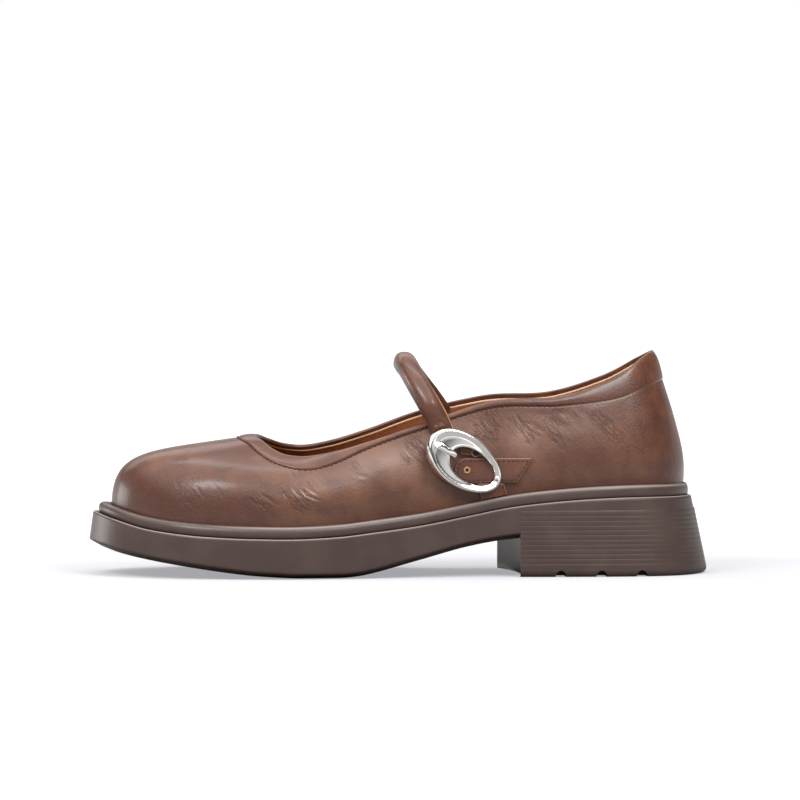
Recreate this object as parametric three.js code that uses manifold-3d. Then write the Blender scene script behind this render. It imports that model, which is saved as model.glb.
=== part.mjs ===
// A left mary jane shoe with a moulded block-heel sole, a rolled instep strap and an oval side buckle.
// Millimetres, +Z up. The toe points to -X, the outer side of the foot is -Y, and the floor is z = 0.
import * as THREE from "three";
import { mergeVertices } from "three/addons/utils/BufferGeometryUtils.js";
import Module from "manifold-3d";

const wasm = await Module();
wasm.setup();

// Overall sizes
const UPPER_LENGTH = 248; // toe to heel over the leather, where it meets the sole
const BALL_WIDTH = 90; // across the leather at the ball of the foot
const BACK_HEIGHT = 62.5; // top of the heel above the ledge of the sole
const WALL = 2; // leather and lining together
const GAP = 0.3; // between two pieces that touch

// Sole
const FORE_LEDGE = 17; // ledge that carries the welt, above the floor at the ball
const SEAT_LEDGE = 33.9; // the same ledge at the heel
const TOE_RISE = 8.8; // how much the ledge climbs again at the toe
const TOE_SPRING = 12.6; // underside of the toe above the floor
const SHANK_LIFT = 16; // underside of the arch above the floor, in front of the heel
const LIP_REACH = 7.4; // how far the ledge stands out past the leather at the toe
const HEEL_FLARE = 7.2; // how far the back of the heel spreads from the ledge to the floor
const EDGE_ROUND = 0.8; // rounding of the lip
const BEVEL_WIDTH = 9; // band round the tread that lifts off the floor
const BEVEL_RISE = 2;
const WELT_HEIGHT = 5.2;
const WELT_SHARE = 0.7; // width of the welt as a share of the ledge
const INSOLE_THICK = 5;

// Heel block
const HEEL_TOP = 28.4;
const HEEL_PROUD = 0.4; // the block stands out past the side of the sole
const HEEL_ROUND = 3; // bottom edge
const BREAST_X = 51.2; // front of the block on the outer side
const BREAST_HOLLOW = 4; // how far the front curves in at the middle
const BREAST_SKEW = 5.4; // how much further forward it reaches on the inner side
const RIB_COUNT = 12;
const RIB_START = 4;
const RIB_DEPTH = 0.35;
const RIB_LAND = 0.68; // flat part of each rib, as a share of its pitch
const NOTCH_FIRST_X = 68.6;
const NOTCH_PITCH = 17.5;
const NOTCH_COUNT = 3;
const NOTCH_FOOT = 4.6;
const NOTCH_HEAD = 2.4;
const NOTCH_DEPTH = 2.8;

// Tread under the ball
const TREAD_FIRST_X = -70;
const TREAD_PITCH = 11;
const TREAD_COUNT = 5;
const TREAD_WIDE = 3;
const TREAD_LONG = 60;
const TREAD_DEEP = 1.5;

// Collar band, the folded and stitched edge of the topline
const BAND_BACK = 12.8; // its height at the back of the heel
const BAND_PUFF = 0.8;
const SEAM_DEPTH = 0.25;

// Strap
const STRAP_WIDE = 9.4;
const STRAP_THICK = 6.6;
const STRAP_FLAT = 2.2; // thickness where it lies flat on the leather
const STRAP_RISE = 21.7; // underside of the arch above the outer topline
const STRAP_FOOT_X = 15.5; // where it crosses the outer topline
const STRAP_APEX_X = 3.2;
const STRAP_INNER_X = 19.2; // where it crosses the inner topline
const STRAP_TUCK = 9; // how far it runs on under the buckle

// Side tab and anchor strip
const TAB_THICK = 1.4;
const TAB_START_X = 23;
const TAB_END_X = 56.7;
const TAB_SLANT = 6.4; // the cut end leans back by this much
const TAB_UP = 0.36; // its middle, as a share of the way from the welt up to the topline
const TAB_WIDE = 10.4;
const ANCHOR_X = 38.6; // middle of the strip, at its top
const ANCHOR_WIDE = 11.6;
const ANCHOR_LEAN = 1.6;

// Buckle
const BUCKLE_LONG = 35.6;
const BUCKLE_WIDE = 22.4;
const BUCKLE_EGG = 0.09; // how much broader one end is
const WINDOW_LONG = 21.2;
const WINDOW_WIDE = 13.2;
const WINDOW_SHIFT = 3.8; // the window lies towards the lower end
const BUCKLE_THICK = 2.8;
const BUCKLE_X = 27;
const BUCKLE_UP = 0.44; // its middle, as a share of the way from the welt up to the topline
const BUCKLE_LEAN = -30; // degrees, the long axis against the floor
const BUCKLE_LIFT = 3.2; // the broad end stands this much further off the leather
const BUCKLE_CROWN = 0.12; // how much thicker it gets towards the broad end
const PRONG_WIDE = 2.4;
const PRONG_THICK = 1.4;
const PRONG_SHIFT = -0.2; // offset from the long axis: below it when positive, above it when negative

// Fineness of the curves
const STEPS = 3; // ring points between two rows of a table
const SECTION_POINTS = 24;

// Names the columns of a table of sections.
const table = (columns, rows) =>
  rows.map((row) => Object.fromEntries(columns.map((name, i) => [name, row[i]])));

// Plan of the line where the leather meets the sole, from the toe along the outer side to the heel and back.
// along is a share of half the length, across of half the ball width, lip of LIP_REACH, flare of HEEL_FLARE.
const OUTLINE = table(
  ["along", "across", "lip", "flare"],
  [
    [-1.0, 0.04, 1.07, 0.28],
    [-0.972, -0.32, 0.97, 0.25],
    [-0.885, -0.61, 0.92, 0.2],
    [-0.742, -0.87, 0.87, 0.13],
    [-0.548, -0.985, 0.84, 0.08],
    [-0.355, -1.0, 0.81, 0.06],
    [-0.145, -0.915, 0.78, 0.06],
    [0.08, -0.785, 0.74, 0.08],
    [0.32, -0.705, 0.7, 0.16],
    [0.565, -0.69, 0.67, 0.32],
    [0.78, -0.64, 0.64, 0.5],
    [0.932, -0.46, 0.6, 0.76],
    [1.0, 0.0, 0.56, 0.97],
    [0.932, 0.45, 0.6, 0.76],
    [0.78, 0.62, 0.64, 0.5],
    [0.565, 0.645, 0.67, 0.32],
    [0.32, 0.6, 0.7, 0.16],
    [0.08, 0.635, 0.74, 0.08],
    [-0.145, 0.815, 0.78, 0.06],
    [-0.355, 0.965, 0.81, 0.06],
    [-0.535, 0.99, 0.84, 0.08],
    [-0.73, 0.9, 0.87, 0.13],
    [-0.885, 0.66, 0.92, 0.2],
    [-0.972, 0.38, 0.97, 0.25],
  ],
);

// The wall of the upper at the same places. along, across and height give the topline, and each wall is a curve
// that leaves the sole by rise and swell and comes to the topline by reach and drop. height, rise and drop are
// shares of BACK_HEIGHT, swell and reach of half the ball width, and band of BAND_BACK.
const WALLS = table(
  ["along", "across", "height", "rise", "swell", "reach", "drop", "band"],
  [
    [-0.5, 0.02, 0.684, 0.49, 0.04, 1.02, 0.118, 0.55],
    [-0.494, -0.19, 0.678, 0.48, 0.045, 0.96, 0.115, 0.545],
    [-0.474, -0.37, 0.655, 0.45, 0.05, 0.79, 0.115, 0.52],
    [-0.437, -0.52, 0.601, 0.4, 0.05, 0.57, 0.115, 0.6],
    [-0.383, -0.63, 0.562, 0.34, 0.05, 0.37, 0.12, 0.7],
    [-0.29, -0.7, 0.558, 0.29, 0.05, 0.24, 0.14, 0.7],
    [-0.105, -0.71, 0.617, 0.27, 0.05, 0.155, 0.17, 0.24],
    [0.089, -0.68, 0.69, 0.26, 0.06, 0.1, 0.2, 0.18],
    [0.306, -0.64, 0.745, 0.26, 0.07, 0.08, 0.23, 0.21],
    [0.548, -0.59, 0.714, 0.26, 0.08, 0.09, 0.24, 0.3],
    [0.738, -0.5, 0.81, 0.27, 0.09, 0.1, 0.26, 0.68],
    [0.857, -0.33, 0.958, 0.28, 0.11, 0.11, 0.29, 0.95],
    [0.903, 0.0, 1.0, 0.28, 0.11, 0.12, 0.33, 1.0],
    [0.855, 0.33, 0.945, 0.28, 0.11, 0.11, 0.29, 0.92],
    [0.73, 0.49, 0.82, 0.27, 0.09, 0.09, 0.26, 0.66],
    [0.54, 0.575, 0.732, 0.26, 0.075, 0.08, 0.24, 0.3],
    [0.306, 0.62, 0.768, 0.26, 0.08, 0.08, 0.23, 0.21],
    [0.089, 0.66, 0.752, 0.26, 0.08, 0.11, 0.2, 0.18],
    [-0.105, 0.705, 0.668, 0.27, 0.06, 0.165, 0.17, 0.24],
    [-0.29, 0.715, 0.604, 0.29, 0.05, 0.25, 0.14, 0.7],
    [-0.383, 0.655, 0.612, 0.34, 0.05, 0.38, 0.12, 0.7],
    [-0.44, 0.545, 0.645, 0.4, 0.05, 0.58, 0.115, 0.6],
    [-0.476, 0.39, 0.674, 0.45, 0.05, 0.8, 0.115, 0.52],
    [-0.495, 0.21, 0.683, 0.48, 0.045, 0.96, 0.115, 0.545],
  ],
);

// Side view of the sole. climb takes the ledge from the ball to the heel, curl lifts it at the toe, spring is the
// underside of the toe and arch that of the shank, as shares of the sizes above.
const SOLE_SIDE = table(
  ["along", "climb", "curl", "spring", "arch"],
  [
    [-1.09, 0, 1.24, 1.03, 0],
    [-1.06, 0, 1.16, 0.97, 0],
    [-0.985, 0, 0.85, 0.8, 0],
    [-0.88, 0, 0.45, 0.6, 0],
    [-0.73, 0, 0.18, 0.37, 0],
    [-0.6, 0, 0.06, 0.19, 0],
    [-0.5, 0, 0.015, 0.08, 0],
    [-0.357, 0, 0, 0, 0],
    [-0.21, 0.055, 0, 0, 0],
    [-0.12, 0.13, 0, 0, 0.075],
    [0.067, 0.31, 0, 0, 0.45],
    [0.23, 0.54, 0, 0, 0.79],
    [0.38, 0.755, 0, 0, 0.99],
    [0.53, 0.885, 0, 0, 1.05],
    [0.68, 0.965, 0, 0, 1.05],
    [0.83, 1, 0, 0, 1.05],
    [1.1, 1, 0, 0, 1.05],
  ],
);

// Section of the welt: out is a share of its width, up of its height.
const WELT_SECTION = table(
  ["out", "up"],
  [
    [0.93, 0],
    [1.0, 0.22],
    [0.98, 0.5],
    [0.84, 0.78],
    [0.52, 0.97],
    [0.2, 1.0],
  ],
);

// Half of the section of the strap, from the middle of its underside: out is a share of half the width.
const STRAP_SECTION = table(
  ["out", "up"],
  [
    [0, 0],
    [0.96, 0],
    [1.0, 0.2],
    [0.94, 0.52],
    [0.72, 0.82],
    [0.36, 0.97],
    [0, 1],
  ],
);

// Middle of the strap's underside over the instep. forward runs from the topline to the top of the arch, across
// is a share of the half width at the topline, rise a share of the height of the arch and thick that of the roll.
const STRAP_PATH = table(
  ["forward", "across", "rise", "thick"],
  [
    [0.0, -1.065, 0.0, 0.6],
    [0.25, -1.01, 0.27, 1],
    [0.64, -0.82, 0.66, 1],
    [0.92, -0.46, 0.94, 1],
    [1.0, 0.0, 1.02, 1],
    [0.9, 0.42, 0.93, 1],
    [0.6, 0.72, 0.62, 0.92],
    [0.27, 0.82, 0.27, 0.35],
  ],
);

// Section of the buckle from its rim to its window: inwards is a share of the way, up of its thickness.
const BUCKLE_SECTION = table(
  ["inwards", "up"],
  [
    [0, 0],
    [0, 0.38],
    [0.14, 0.78],
    [0.36, 1],
    [0.66, 0.9],
    [0.88, 0.52],
    [1, 0.14],
    [0.98, 0],
  ],
);

// The pin of the buckle: along is measured from the edge of the window, up from the back of the buckle.
const PRONG_PATH = table(
  ["along", "up", "size"],
  [
    [-5.4, 4.9, 0.5],
    [-5, 4.85, 1],
    [-2.4, 3.9, 1],
    [-0.3, 2.8, 1],
    [2, 1.8, 0.95],
    [2.6, 1.5, 0.5],
  ],
);

const HALF_LENGTH = UPPER_LENGTH / 2;
const HALF_BALL = BALL_WIDTH / 2;
const RING = OUTLINE.length * STEPS;
const OUTER_ROW = 7.5; // place of the side under the buckle
const INNER_ROW = 16.8;
const UP = new THREE.Vector3(0, 0, 1);

// A smooth curve through four values, t of the way from b to c.
function blend(a, b, c, d, t) {
  const slopeB = (c - a) / 2;
  const slopeC = (d - b) / 2;
  const bend = 2 * (b - c) + slopeB + slopeC;
  return b + t * (slopeB + t * (3 * (c - b) - 2 * slopeB - slopeC + t * bend));
}

// Value of a column of a closed table, place counted in rows.
function around(rows, column, place) {
  const count = rows.length;
  const row = Math.floor(place);
  const pick = (k) => rows[(((row + k) % count) + count) % count][column];
  return blend(pick(-1), pick(0), pick(1), pick(2), place - row);
}

// Value of a column of SOLE_SIDE at x.
function alongSole(column, x) {
  const share = THREE.MathUtils.clamp(
    x / HALF_LENGTH,
    SOLE_SIDE[0].along,
    SOLE_SIDE[SOLE_SIDE.length - 1].along,
  );
  let row = SOLE_SIDE.findIndex((r) => r.along > share) - 1;
  if (row < 0) row = SOLE_SIDE.length - 2;
  const at = (k) => SOLE_SIDE[THREE.MathUtils.clamp(k, 0, SOLE_SIDE.length - 1)];
  const slope = (k) => {
    const before = at(k - 1);
    const after = at(k + 1);
    return (after[column] - before[column]) / (after.along - before.along);
  };
  const span = at(row + 1).along - at(row).along;
  const t = (share - at(row).along) / span;
  const from = at(row)[column];
  const to = at(row + 1)[column];
  const start = slope(row) * span;
  const end = slope(row + 1) * span;
  return from + t * (start + t * (3 * (to - from) - 2 * start - end + t * (2 * (from - to) + start + end)));
}

// Height of the ledge that carries the welt and the upper.
const ledge = (x) =>
  FORE_LEDGE + (SEAT_LEDGE - FORE_LEDGE) * alongSole("climb", x) + TOE_RISE * alongSole("curl", x);

// Underside of the sole in front of the heel.
const underside = (x) =>
  Math.max(TOE_SPRING * alongSole("spring", x) + SHANK_LIFT * alongSole("arch", x), 0);

// Point of the outline in plan.
const planPoint = (place) =>
  new THREE.Vector3(
    HALF_LENGTH * around(OUTLINE, "along", place),
    HALF_BALL * around(OUTLINE, "across", place),
    0,
  );

// Point of the topline.
function toplinePoint(place) {
  const x = HALF_LENGTH * around(WALLS, "along", place);
  const y = HALF_BALL * around(WALLS, "across", place);
  return new THREE.Vector3(x, y, ledge(x) + BACK_HEIGHT * around(WALLS, "height", place));
}

// Outward direction in plan of a closed curve that is given by a function of place.
function outward(curve, place) {
  const step = 0.05;
  const run = curve(place + step).sub(curve(place - step)).setZ(0).normalize();
  return new THREE.Vector3(run.y, -run.x, 0);
}

// Outline of the sole, offset outwards by a distance, at height 0.
function offsetPlan(place, distance) {
  return planPoint(place).addScaledVector(outward(planPoint, place), distance);
}

// A closed ring of points, one for each place.
const ringOf = (pointAt) => Array.from({ length: RING }, (_, i) => pointAt(i / STEPS));

// Outer face of the upper: v runs from 0 at the sole to 1 at the topline.
function wallPoint(place, v) {
  const foot = planPoint(place);
  foot.z = ledge(foot.x) + GAP;
  const top = toplinePoint(place);
  const low = foot
    .clone()
    .addScaledVector(outward(planPoint, place), HALF_BALL * around(WALLS, "swell", place))
    .addScaledVector(UP, BACK_HEIGHT * around(WALLS, "rise", place));
  const high = top
    .clone()
    .addScaledVector(outward(toplinePoint, place), HALF_BALL * around(WALLS, "reach", place))
    .addScaledVector(UP, -BACK_HEIGHT * around(WALLS, "drop", place));
  return new THREE.CubicBezierCurve3(foot, low, high, top).getPoint(v);
}

// Direction out of the leather.
function wallNormal(place, v) {
  const step = 0.02;
  const low = Math.max(v - step, 0);
  const high = Math.min(v + step, 1);
  const run = wallPoint(place + step, v).sub(wallPoint(place - step, v));
  const climb = wallPoint(place, high).sub(wallPoint(place, low));
  return run.cross(climb).normalize();
}

// Point at a distance from the outer face of the upper.
const offWall = (place, v, distance) =>
  wallPoint(place, v).addScaledVector(wallNormal(place, v), distance);

// Point at a distance off the upper, at a height above its foot.
function atHeight(place, height, distance) {
  let v = 0.05;
  for (let i = 0; i < 8; i++) {
    const step = 0.01;
    const here = wallPoint(place, v).z;
    const climb = (wallPoint(place, v + step).z - here) / step;
    v += (ledge(planPoint(place).x) + GAP + height - here) / climb;
  }
  return offWall(place, v, distance);
}

// Where the collar band starts, as a value of v, a share of the way down it.
function bandStart(place, share) {
  const depth = BAND_BACK * around(WALLS, "band", place) * share;
  const nearTop = 0.9;
  const climb = wallPoint(place, 1).distanceTo(wallPoint(place, nearTop)) / (1 - nearTop);
  return 1 - depth / climb;
}

// Place and v of the wall at a given x and z, on the side whose row is given.
function findWall(x, z, row) {
  let place = row;
  let v = 0.5;
  const step = 0.01;
  for (let i = 0; i < 12; i++) {
    const here = wallPoint(place, v);
    const byPlace = wallPoint(place + step, v).sub(here).divideScalar(step);
    const byV = wallPoint(place, v + step).sub(here).divideScalar(step);
    const missX = x - here.x;
    const missZ = z - here.z;
    const area = byPlace.x * byV.z - byPlace.z * byV.x;
    place += (missX * byV.z - missZ * byV.x) / area;
    v += (missZ * byPlace.x - missX * byPlace.z) / area;
  }
  return { place, v };
}

// Point at a distance off the outer side of the upper, seen from that side at x and z.
function offSide(x, z, distance) {
  const { place, v } = findWall(x, z, OUTER_ROW);
  return offWall(place, v, distance);
}

// Joins rings of equal length into a closed geometry, either as a loop of rings or with flat ends.
function loft(rings, asLoop) {
  const count = rings[0].length;
  const positions = rings.flat().flatMap((p) => [p.x, p.y, p.z]);
  const index = [];
  const joined = asLoop ? rings.length : rings.length - 1;
  for (let r = 0; r < joined; r++) {
    const low = r * count;
    const high = ((r + 1) % rings.length) * count;
    for (let i = 0; i < count; i++) {
      const next = (i + 1) % count;
      index.push(low + i, low + next, high + next, low + i, high + next, high + i);
    }
  }
  if (!asLoop) {
    const top = (rings.length - 1) * count;
    for (let i = 0; i < count / 2; i++) {
      const far = (count - i) % count;
      const a = i;
      const b = i + 1;
      const c = count - i - 1;
      if (b !== c && a !== b) index.push(c, b, a, top + a, top + b, top + c);
      if (i > 0 && far !== c && a !== c) index.push(far, c, a, top + a, top + c, top + far);
    }
  }
  const geometry = new THREE.BufferGeometry();
  geometry.setAttribute("position", new THREE.Float32BufferAttribute(positions, 3));
  geometry.setIndex(index);
  return geometry;
}

// A closed geometry as a solid that can be joined and cut.
function solidOf(geometry) {
  const bare = geometry.clone();
  for (const name of Object.keys(bare.attributes)) {
    if (name !== "position") bare.deleteAttribute(name);
  }
  const merged = mergeVertices(bare, 1e-4);
  return new wasm.Manifold(
    new wasm.Mesh({
      numProp: 3,
      vertProperties: merged.attributes.position.array,
      triVerts: new Uint32Array(merged.index.array),
    }),
  );
}

// The geometry of a joined or cut solid.
function geometryOf(solid) {
  const mesh = solid.getMesh();
  const geometry = new THREE.BufferGeometry();
  geometry.setAttribute("position", new THREE.Float32BufferAttribute(mesh.vertProperties, 3));
  geometry.setIndex(new THREE.BufferAttribute(mesh.triVerts, 1));
  return geometry;
}

// A prism that stands up from low to high over an outline in plan.
function prism(points, low, high) {
  const shape = new THREE.Shape(points);
  const geometry = new THREE.ExtrudeGeometry(shape, { depth: high - low, bevelEnabled: false });
  return geometry.translate(0, 0, low);
}

// Everything behind the front of the heel, below a height. shift moves the front towards the toe.
function behindBreast(shift, top) {
  const reach = BALL_WIDTH;
  const half = HALF_BALL * 0.85;
  const steps = 10;
  const front = Array.from({ length: steps + 1 }, (_, i) => {
    const share = (2 * i) / steps - 1;
    const hollow = BREAST_HOLLOW * (1 - share * share);
    const skew = (BREAST_SKEW * (share + 1)) / 2;
    return new THREE.Vector2(BREAST_X + hollow - skew - shift, half * share);
  });
  const last = front[steps];
  const outline = [
    new THREE.Vector2(UPPER_LENGTH, -reach),
    new THREE.Vector2(UPPER_LENGTH, reach),
    new THREE.Vector2(last.x, reach),
    ...front.reverse(),
    new THREE.Vector2(BREAST_X - shift, -reach),
  ];
  return solidOf(prism(outline, -SEAT_LEDGE, top));
}

// Side of the sole and the heel at a height: one slope from the ledge down to the tread or the floor.
function soleSide(place, z, extra) {
  const x = planPoint(place).x;
  const arch = Math.min(alongSole("arch", x), 1);
  const depth = THREE.MathUtils.lerp(ledge(x) - underside(x), ledge(x), arch);
  const down = THREE.MathUtils.clamp((ledge(x) - z) / depth, 0, 1);
  const lip = LIP_REACH * around(OUTLINE, "lip", place);
  const flare = HEEL_FLARE * around(OUTLINE, "flare", place);
  return offsetPlan(place, lip + flare * down + extra).setZ(z);
}

// The forefoot, arch and heel seat of the sole, with its ledge.
function outsoleGeometry() {
  const atUnderside = (place, extra, rise) => {
    const p = soleSide(place, underside(planPoint(place).x) + rise, extra);
    return p.setZ(underside(p.x) + rise);
  };
  const atLedge = (place, extra, drop) => {
    const p = soleSide(place, ledge(planPoint(place).x), extra);
    return p.setZ(ledge(p.x) - drop);
  };
  const onLedge = (distance) => (place) => {
    const p = offsetPlan(place, distance);
    p.z = ledge(p.x);
    return p;
  };
  const body = loft(
    [
      ringOf((place) => atUnderside(place, -BEVEL_WIDTH, 0)),
      ringOf((place) => atUnderside(place, -EDGE_ROUND, BEVEL_RISE)),
      ringOf((place) => atUnderside(place, 0, BEVEL_RISE + EDGE_ROUND)),
      ringOf((place) => atLedge(place, 0, EDGE_ROUND)),
      ringOf((place) => atLedge(place, -EDGE_ROUND / 2, 0)),
      ringOf(onLedge(0)),
      ringOf(onLedge(-WALL - GAP)),
    ],
    false,
  );
  let solid = solidOf(body).subtract(behindBreast(GAP, HEEL_TOP + GAP));
  for (let i = 0; i < TREAD_COUNT; i++) {
    const groove = new THREE.BoxGeometry(TREAD_WIDE, TREAD_LONG, 2 * TREAD_DEEP);
    groove.translate(TREAD_FIRST_X + i * TREAD_PITCH, 0, 0);
    solid = solid.subtract(solidOf(groove));
  }
  return geometryOf(solid);
}

// The ribbed heel block with its notches.
function heelGeometry() {
  const level = (z, extra) => ringOf((place) => soleSide(place, z, HEEL_PROUD + extra));
  const edgeSteps = 3;
  const rings = [];
  for (let i = 0; i <= edgeSteps; i++) {
    const angle = ((Math.PI / 2) * i) / edgeSteps;
    rings.push(level(HEEL_ROUND * (1 - Math.cos(angle)), -HEEL_ROUND * (1 - Math.sin(angle))));
  }
  const pitch = (HEEL_TOP - RIB_START) / RIB_COUNT;
  for (let i = 0; i < RIB_COUNT; i++) {
    const foot = RIB_START + i * pitch;
    rings.push(level(foot, 0));
    rings.push(level(foot + pitch * RIB_LAND, 0));
    rings.push(level(foot + (pitch * (1 + RIB_LAND)) / 2, -RIB_DEPTH));
  }
  rings.push(level(HEEL_TOP, 0));
  let solid = solidOf(loft(rings, false)).intersect(behindBreast(0, HEEL_TOP + GAP));
  for (let i = 0; i < NOTCH_COUNT; i++) {
    const section = new THREE.Shape([
      new THREE.Vector2(-NOTCH_FOOT / 2, -NOTCH_DEPTH),
      new THREE.Vector2(NOTCH_FOOT / 2, -NOTCH_DEPTH),
      new THREE.Vector2(NOTCH_FOOT / 2, 0),
      new THREE.Vector2(NOTCH_HEAD / 2, NOTCH_DEPTH),
      new THREE.Vector2(-NOTCH_HEAD / 2, NOTCH_DEPTH),
      new THREE.Vector2(-NOTCH_FOOT / 2, 0),
    ]);
    const notch = new THREE.ExtrudeGeometry(section, { depth: 2 * BALL_WIDTH, bevelEnabled: false });
    notch.rotateX(Math.PI / 2);
    notch.translate(NOTCH_FIRST_X + i * NOTCH_PITCH, BALL_WIDTH, 0);
    solid = solid.subtract(solidOf(notch));
  }
  return geometryOf(solid);
}

// Sets a point at a height over the ledge.
const overLedge = (point, height) => point.setZ(ledge(point.x) + GAP + height);

// The round bead that runs all the way round between the sole and the upper.
function weltGeometry() {
  const height = WELT_HEIGHT - GAP;
  const inner = (up) =>
    ringOf((place) => overLedge(atHeight(place, height * up, GAP), height * up));
  const rings = WELT_SECTION.map(({ out, up }) =>
    ringOf((place) => {
      const width = LIP_REACH * around(OUTLINE, "lip", place) * WELT_SHARE;
      const side = atHeight(place, height * up, GAP);
      return overLedge(side.lerp(offsetPlan(place, width), out), height * up);
    }),
  );
  return loft([...rings, inner(0.94), inner(0.5), inner(0)], true);
}

// The insole, which fills the upper from wall to wall.
function insoleGeometry() {
  const level = (inset, height) =>
    ringOf((place) => overLedge(atHeight(place, height, -WALL - GAP - inset), height));
  return loft([level(0, 0), level(GAP, INSOLE_THICK - 1), level(1, INSOLE_THICK)], false);
}

// The upper: one hollow wall from the sole to the topline, with the collar band as a soft step.
function upperGeometry() {
  const outerLevels = [0, 0.08, 0.17, 0.26, 0.36, 0.46, 0.56, 0.66, 0.76, 0.86];
  const innerLevels = [1, 0.93, 0.84, 0.72, 0.58, 0.44, 0.3, 0.15, 0];
  const face = (levelAt, distance) => ringOf((place) => offWall(place, levelAt(place), distance));
  const belowBand = (share) => (place) => share * bandStart(place, 1.12);
  const rings = [
    ...outerLevels.map((share) => face(belowBand(share), 0)),
    face(belowBand(1), 0),
    face((place) => bandStart(place, 1), -SEAM_DEPTH),
    face((place) => bandStart(place, 0.85), BAND_PUFF * 0.6),
    face((place) => bandStart(place, 0.45), BAND_PUFF),
    face((place) => bandStart(place, 0.1), BAND_PUFF * 0.5),
    ringOf((place) => offWall(place, 1, -WALL * 0.25).addScaledVector(UP, WALL * 0.12)),
    ringOf((place) => offWall(place, 1, -WALL * 0.75).addScaledVector(UP, WALL * 0.12)),
    ...innerLevels.map((v) => face(() => v * bandStart(0, 0) - (v === 1 ? 0.01 : 0), -WALL)),
  ];
  return loft(rings, true);
}

// Sweeps the strap's section along a curve. lean gives the direction out of each point, size its width and thickness.
function sweepStrap(points, outs, sizes) {
  const rings = points.map((point, i) => {
    const before = points[Math.max(i - 1, 0)];
    const after = points[Math.min(i + 1, points.length - 1)];
    const run = after.clone().sub(before).normalize();
    const side = outs[i].clone().cross(run).normalize();
    const out = run.clone().cross(side).normalize();
    const half = STRAP_SECTION.map(({ out: share, up }) => [share, up]);
    const mirrored = half.slice(1, -1).reverse().map(([share, up]) => [-share, up]);
    return [...half, ...mirrored].map(([share, up]) =>
      point
        .clone()
        .addScaledVector(side, (sizes[i].wide / 2) * share)
        .addScaledVector(out, sizes[i].thick * up),
    );
  });
  return loft(rings, false);
}

// Height of the topline at x, on the side whose row is given.
function toplineAt(x, row) {
  let place = row;
  const step = 0.01;
  for (let i = 0; i < 8; i++) {
    const here = toplinePoint(place).x;
    place += ((x - here) * step) / (toplinePoint(place + step).x - here);
  }
  return toplinePoint(place);
}

// Height on the outer side at x, as a share of the way from the welt to the topline.
const sideHeight = (x, share) =>
  THREE.MathUtils.lerp(ledge(x) + WELT_HEIGHT, toplineAt(x, OUTER_ROW).z, share);

// A place on the strap that lies on the outer or, with a distance below zero, on the inner face of the wall.
function strapOnWall(x, z, row, distance, thick) {
  const { place, v } = findWall(x, z, row);
  return { point: offWall(place, v, distance), out: wallNormal(place, v), thick };
}

// Upper edge of the buckle.
function buckleTop() {
  const lean = THREE.MathUtils.degToRad(BUCKLE_LEAN);
  const rise = Math.hypot((BUCKLE_LONG / 2) * Math.sin(lean), (BUCKLE_WIDE / 2) * Math.cos(lean));
  return sideHeight(BUCKLE_X, BUCKLE_UP) + rise;
}

// The rolled strap: flat on the outer side under the buckle, round over the instep, flat again where it is
// sewn in behind the inner topline.
function strapGeometry() {
  const outerTop = toplineAt(STRAP_FOOT_X, OUTER_ROW);
  const innerTop = toplineAt(STRAP_INNER_X, INNER_ROW);
  const apex = outerTop.z + STRAP_RISE;
  const lean = Math.abs(STRAP_FOOT_X - STRAP_APEX_X) / STRAP_RISE;
  const centre = new THREE.Vector3(STRAP_APEX_X, 0, outerTop.z);
  const free = STRAP_PATH.map(({ forward, across, rise, thick }) => {
    const top = across < 0 ? outerTop : innerTop;
    const point = new THREE.Vector3(
      THREE.MathUtils.lerp(top.x, STRAP_APEX_X, forward),
      Math.abs(top.y) * across,
      THREE.MathUtils.lerp(top.z, apex, rise),
    );
    const out = point.clone().sub(centre).setX(0).normalize();
    return { point, out, thick };
  });
  const tucked = (share, thick) => {
    const z = buckleTop() - STRAP_TUCK * share;
    const off = GAP + (BAND_PUFF * (1 - share)) / 2;
    return strapOnWall(outerTop.x + lean * (outerTop.z - z) * 0.75, z, OUTER_ROW, off, thick);
  };
  const inside = -WALL - GAP - STRAP_FLAT;
  const sewn = (down, thick) =>
    strapOnWall(innerTop.x + lean * down, innerTop.z - down, INNER_ROW, inside, thick);
  const stations = [
    tucked(1, 0),
    tucked(0.5, 0),
    tucked(0, 0.05),
    ...free,
    sewn(0.6, 0),
    sewn(2.6, 0),
  ];
  const path = new THREE.CatmullRomCurve3(stations.map((s) => s.point), false, "centripetal");
  const outs = new THREE.CatmullRomCurve3(stations.map((s) => s.out));
  const thicks = new THREE.CatmullRomCurve3(stations.map((s) => new THREE.Vector3(s.thick, 0, 0)));
  const steps = 4 * stations.length;
  const shares = Array.from({ length: steps + 1 }, (_, i) => i / steps);
  return sweepStrap(
    shares.map((t) => path.getPoint(t)),
    shares.map((t) => outs.getPoint(t)),
    shares.map((t) => {
      const share = THREE.MathUtils.clamp(thicks.getPoint(t).x, 0, 1);
      return { wide: STRAP_WIDE, thick: THREE.MathUtils.lerp(STRAP_FLAT, STRAP_THICK, share) };
    }),
  );
}

// A strip of leather on the outer side. Each column has an x and runs from its low to its high z.
function patchGeometry(columns) {
  const rings = columns.map(({ lowX, highX, low, high }) => {
    const across = [0, 0.5, 1];
    const at = (share, distance) =>
      offSide(
        THREE.MathUtils.lerp(lowX, highX, share),
        THREE.MathUtils.lerp(low, high, share),
        GAP + distance,
      );
    return [...across.map((s) => at(s, 0)), ...across.map((s) => at(1 - s, TAB_THICK))];
  });
  return loft(rings, false);
}

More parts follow.
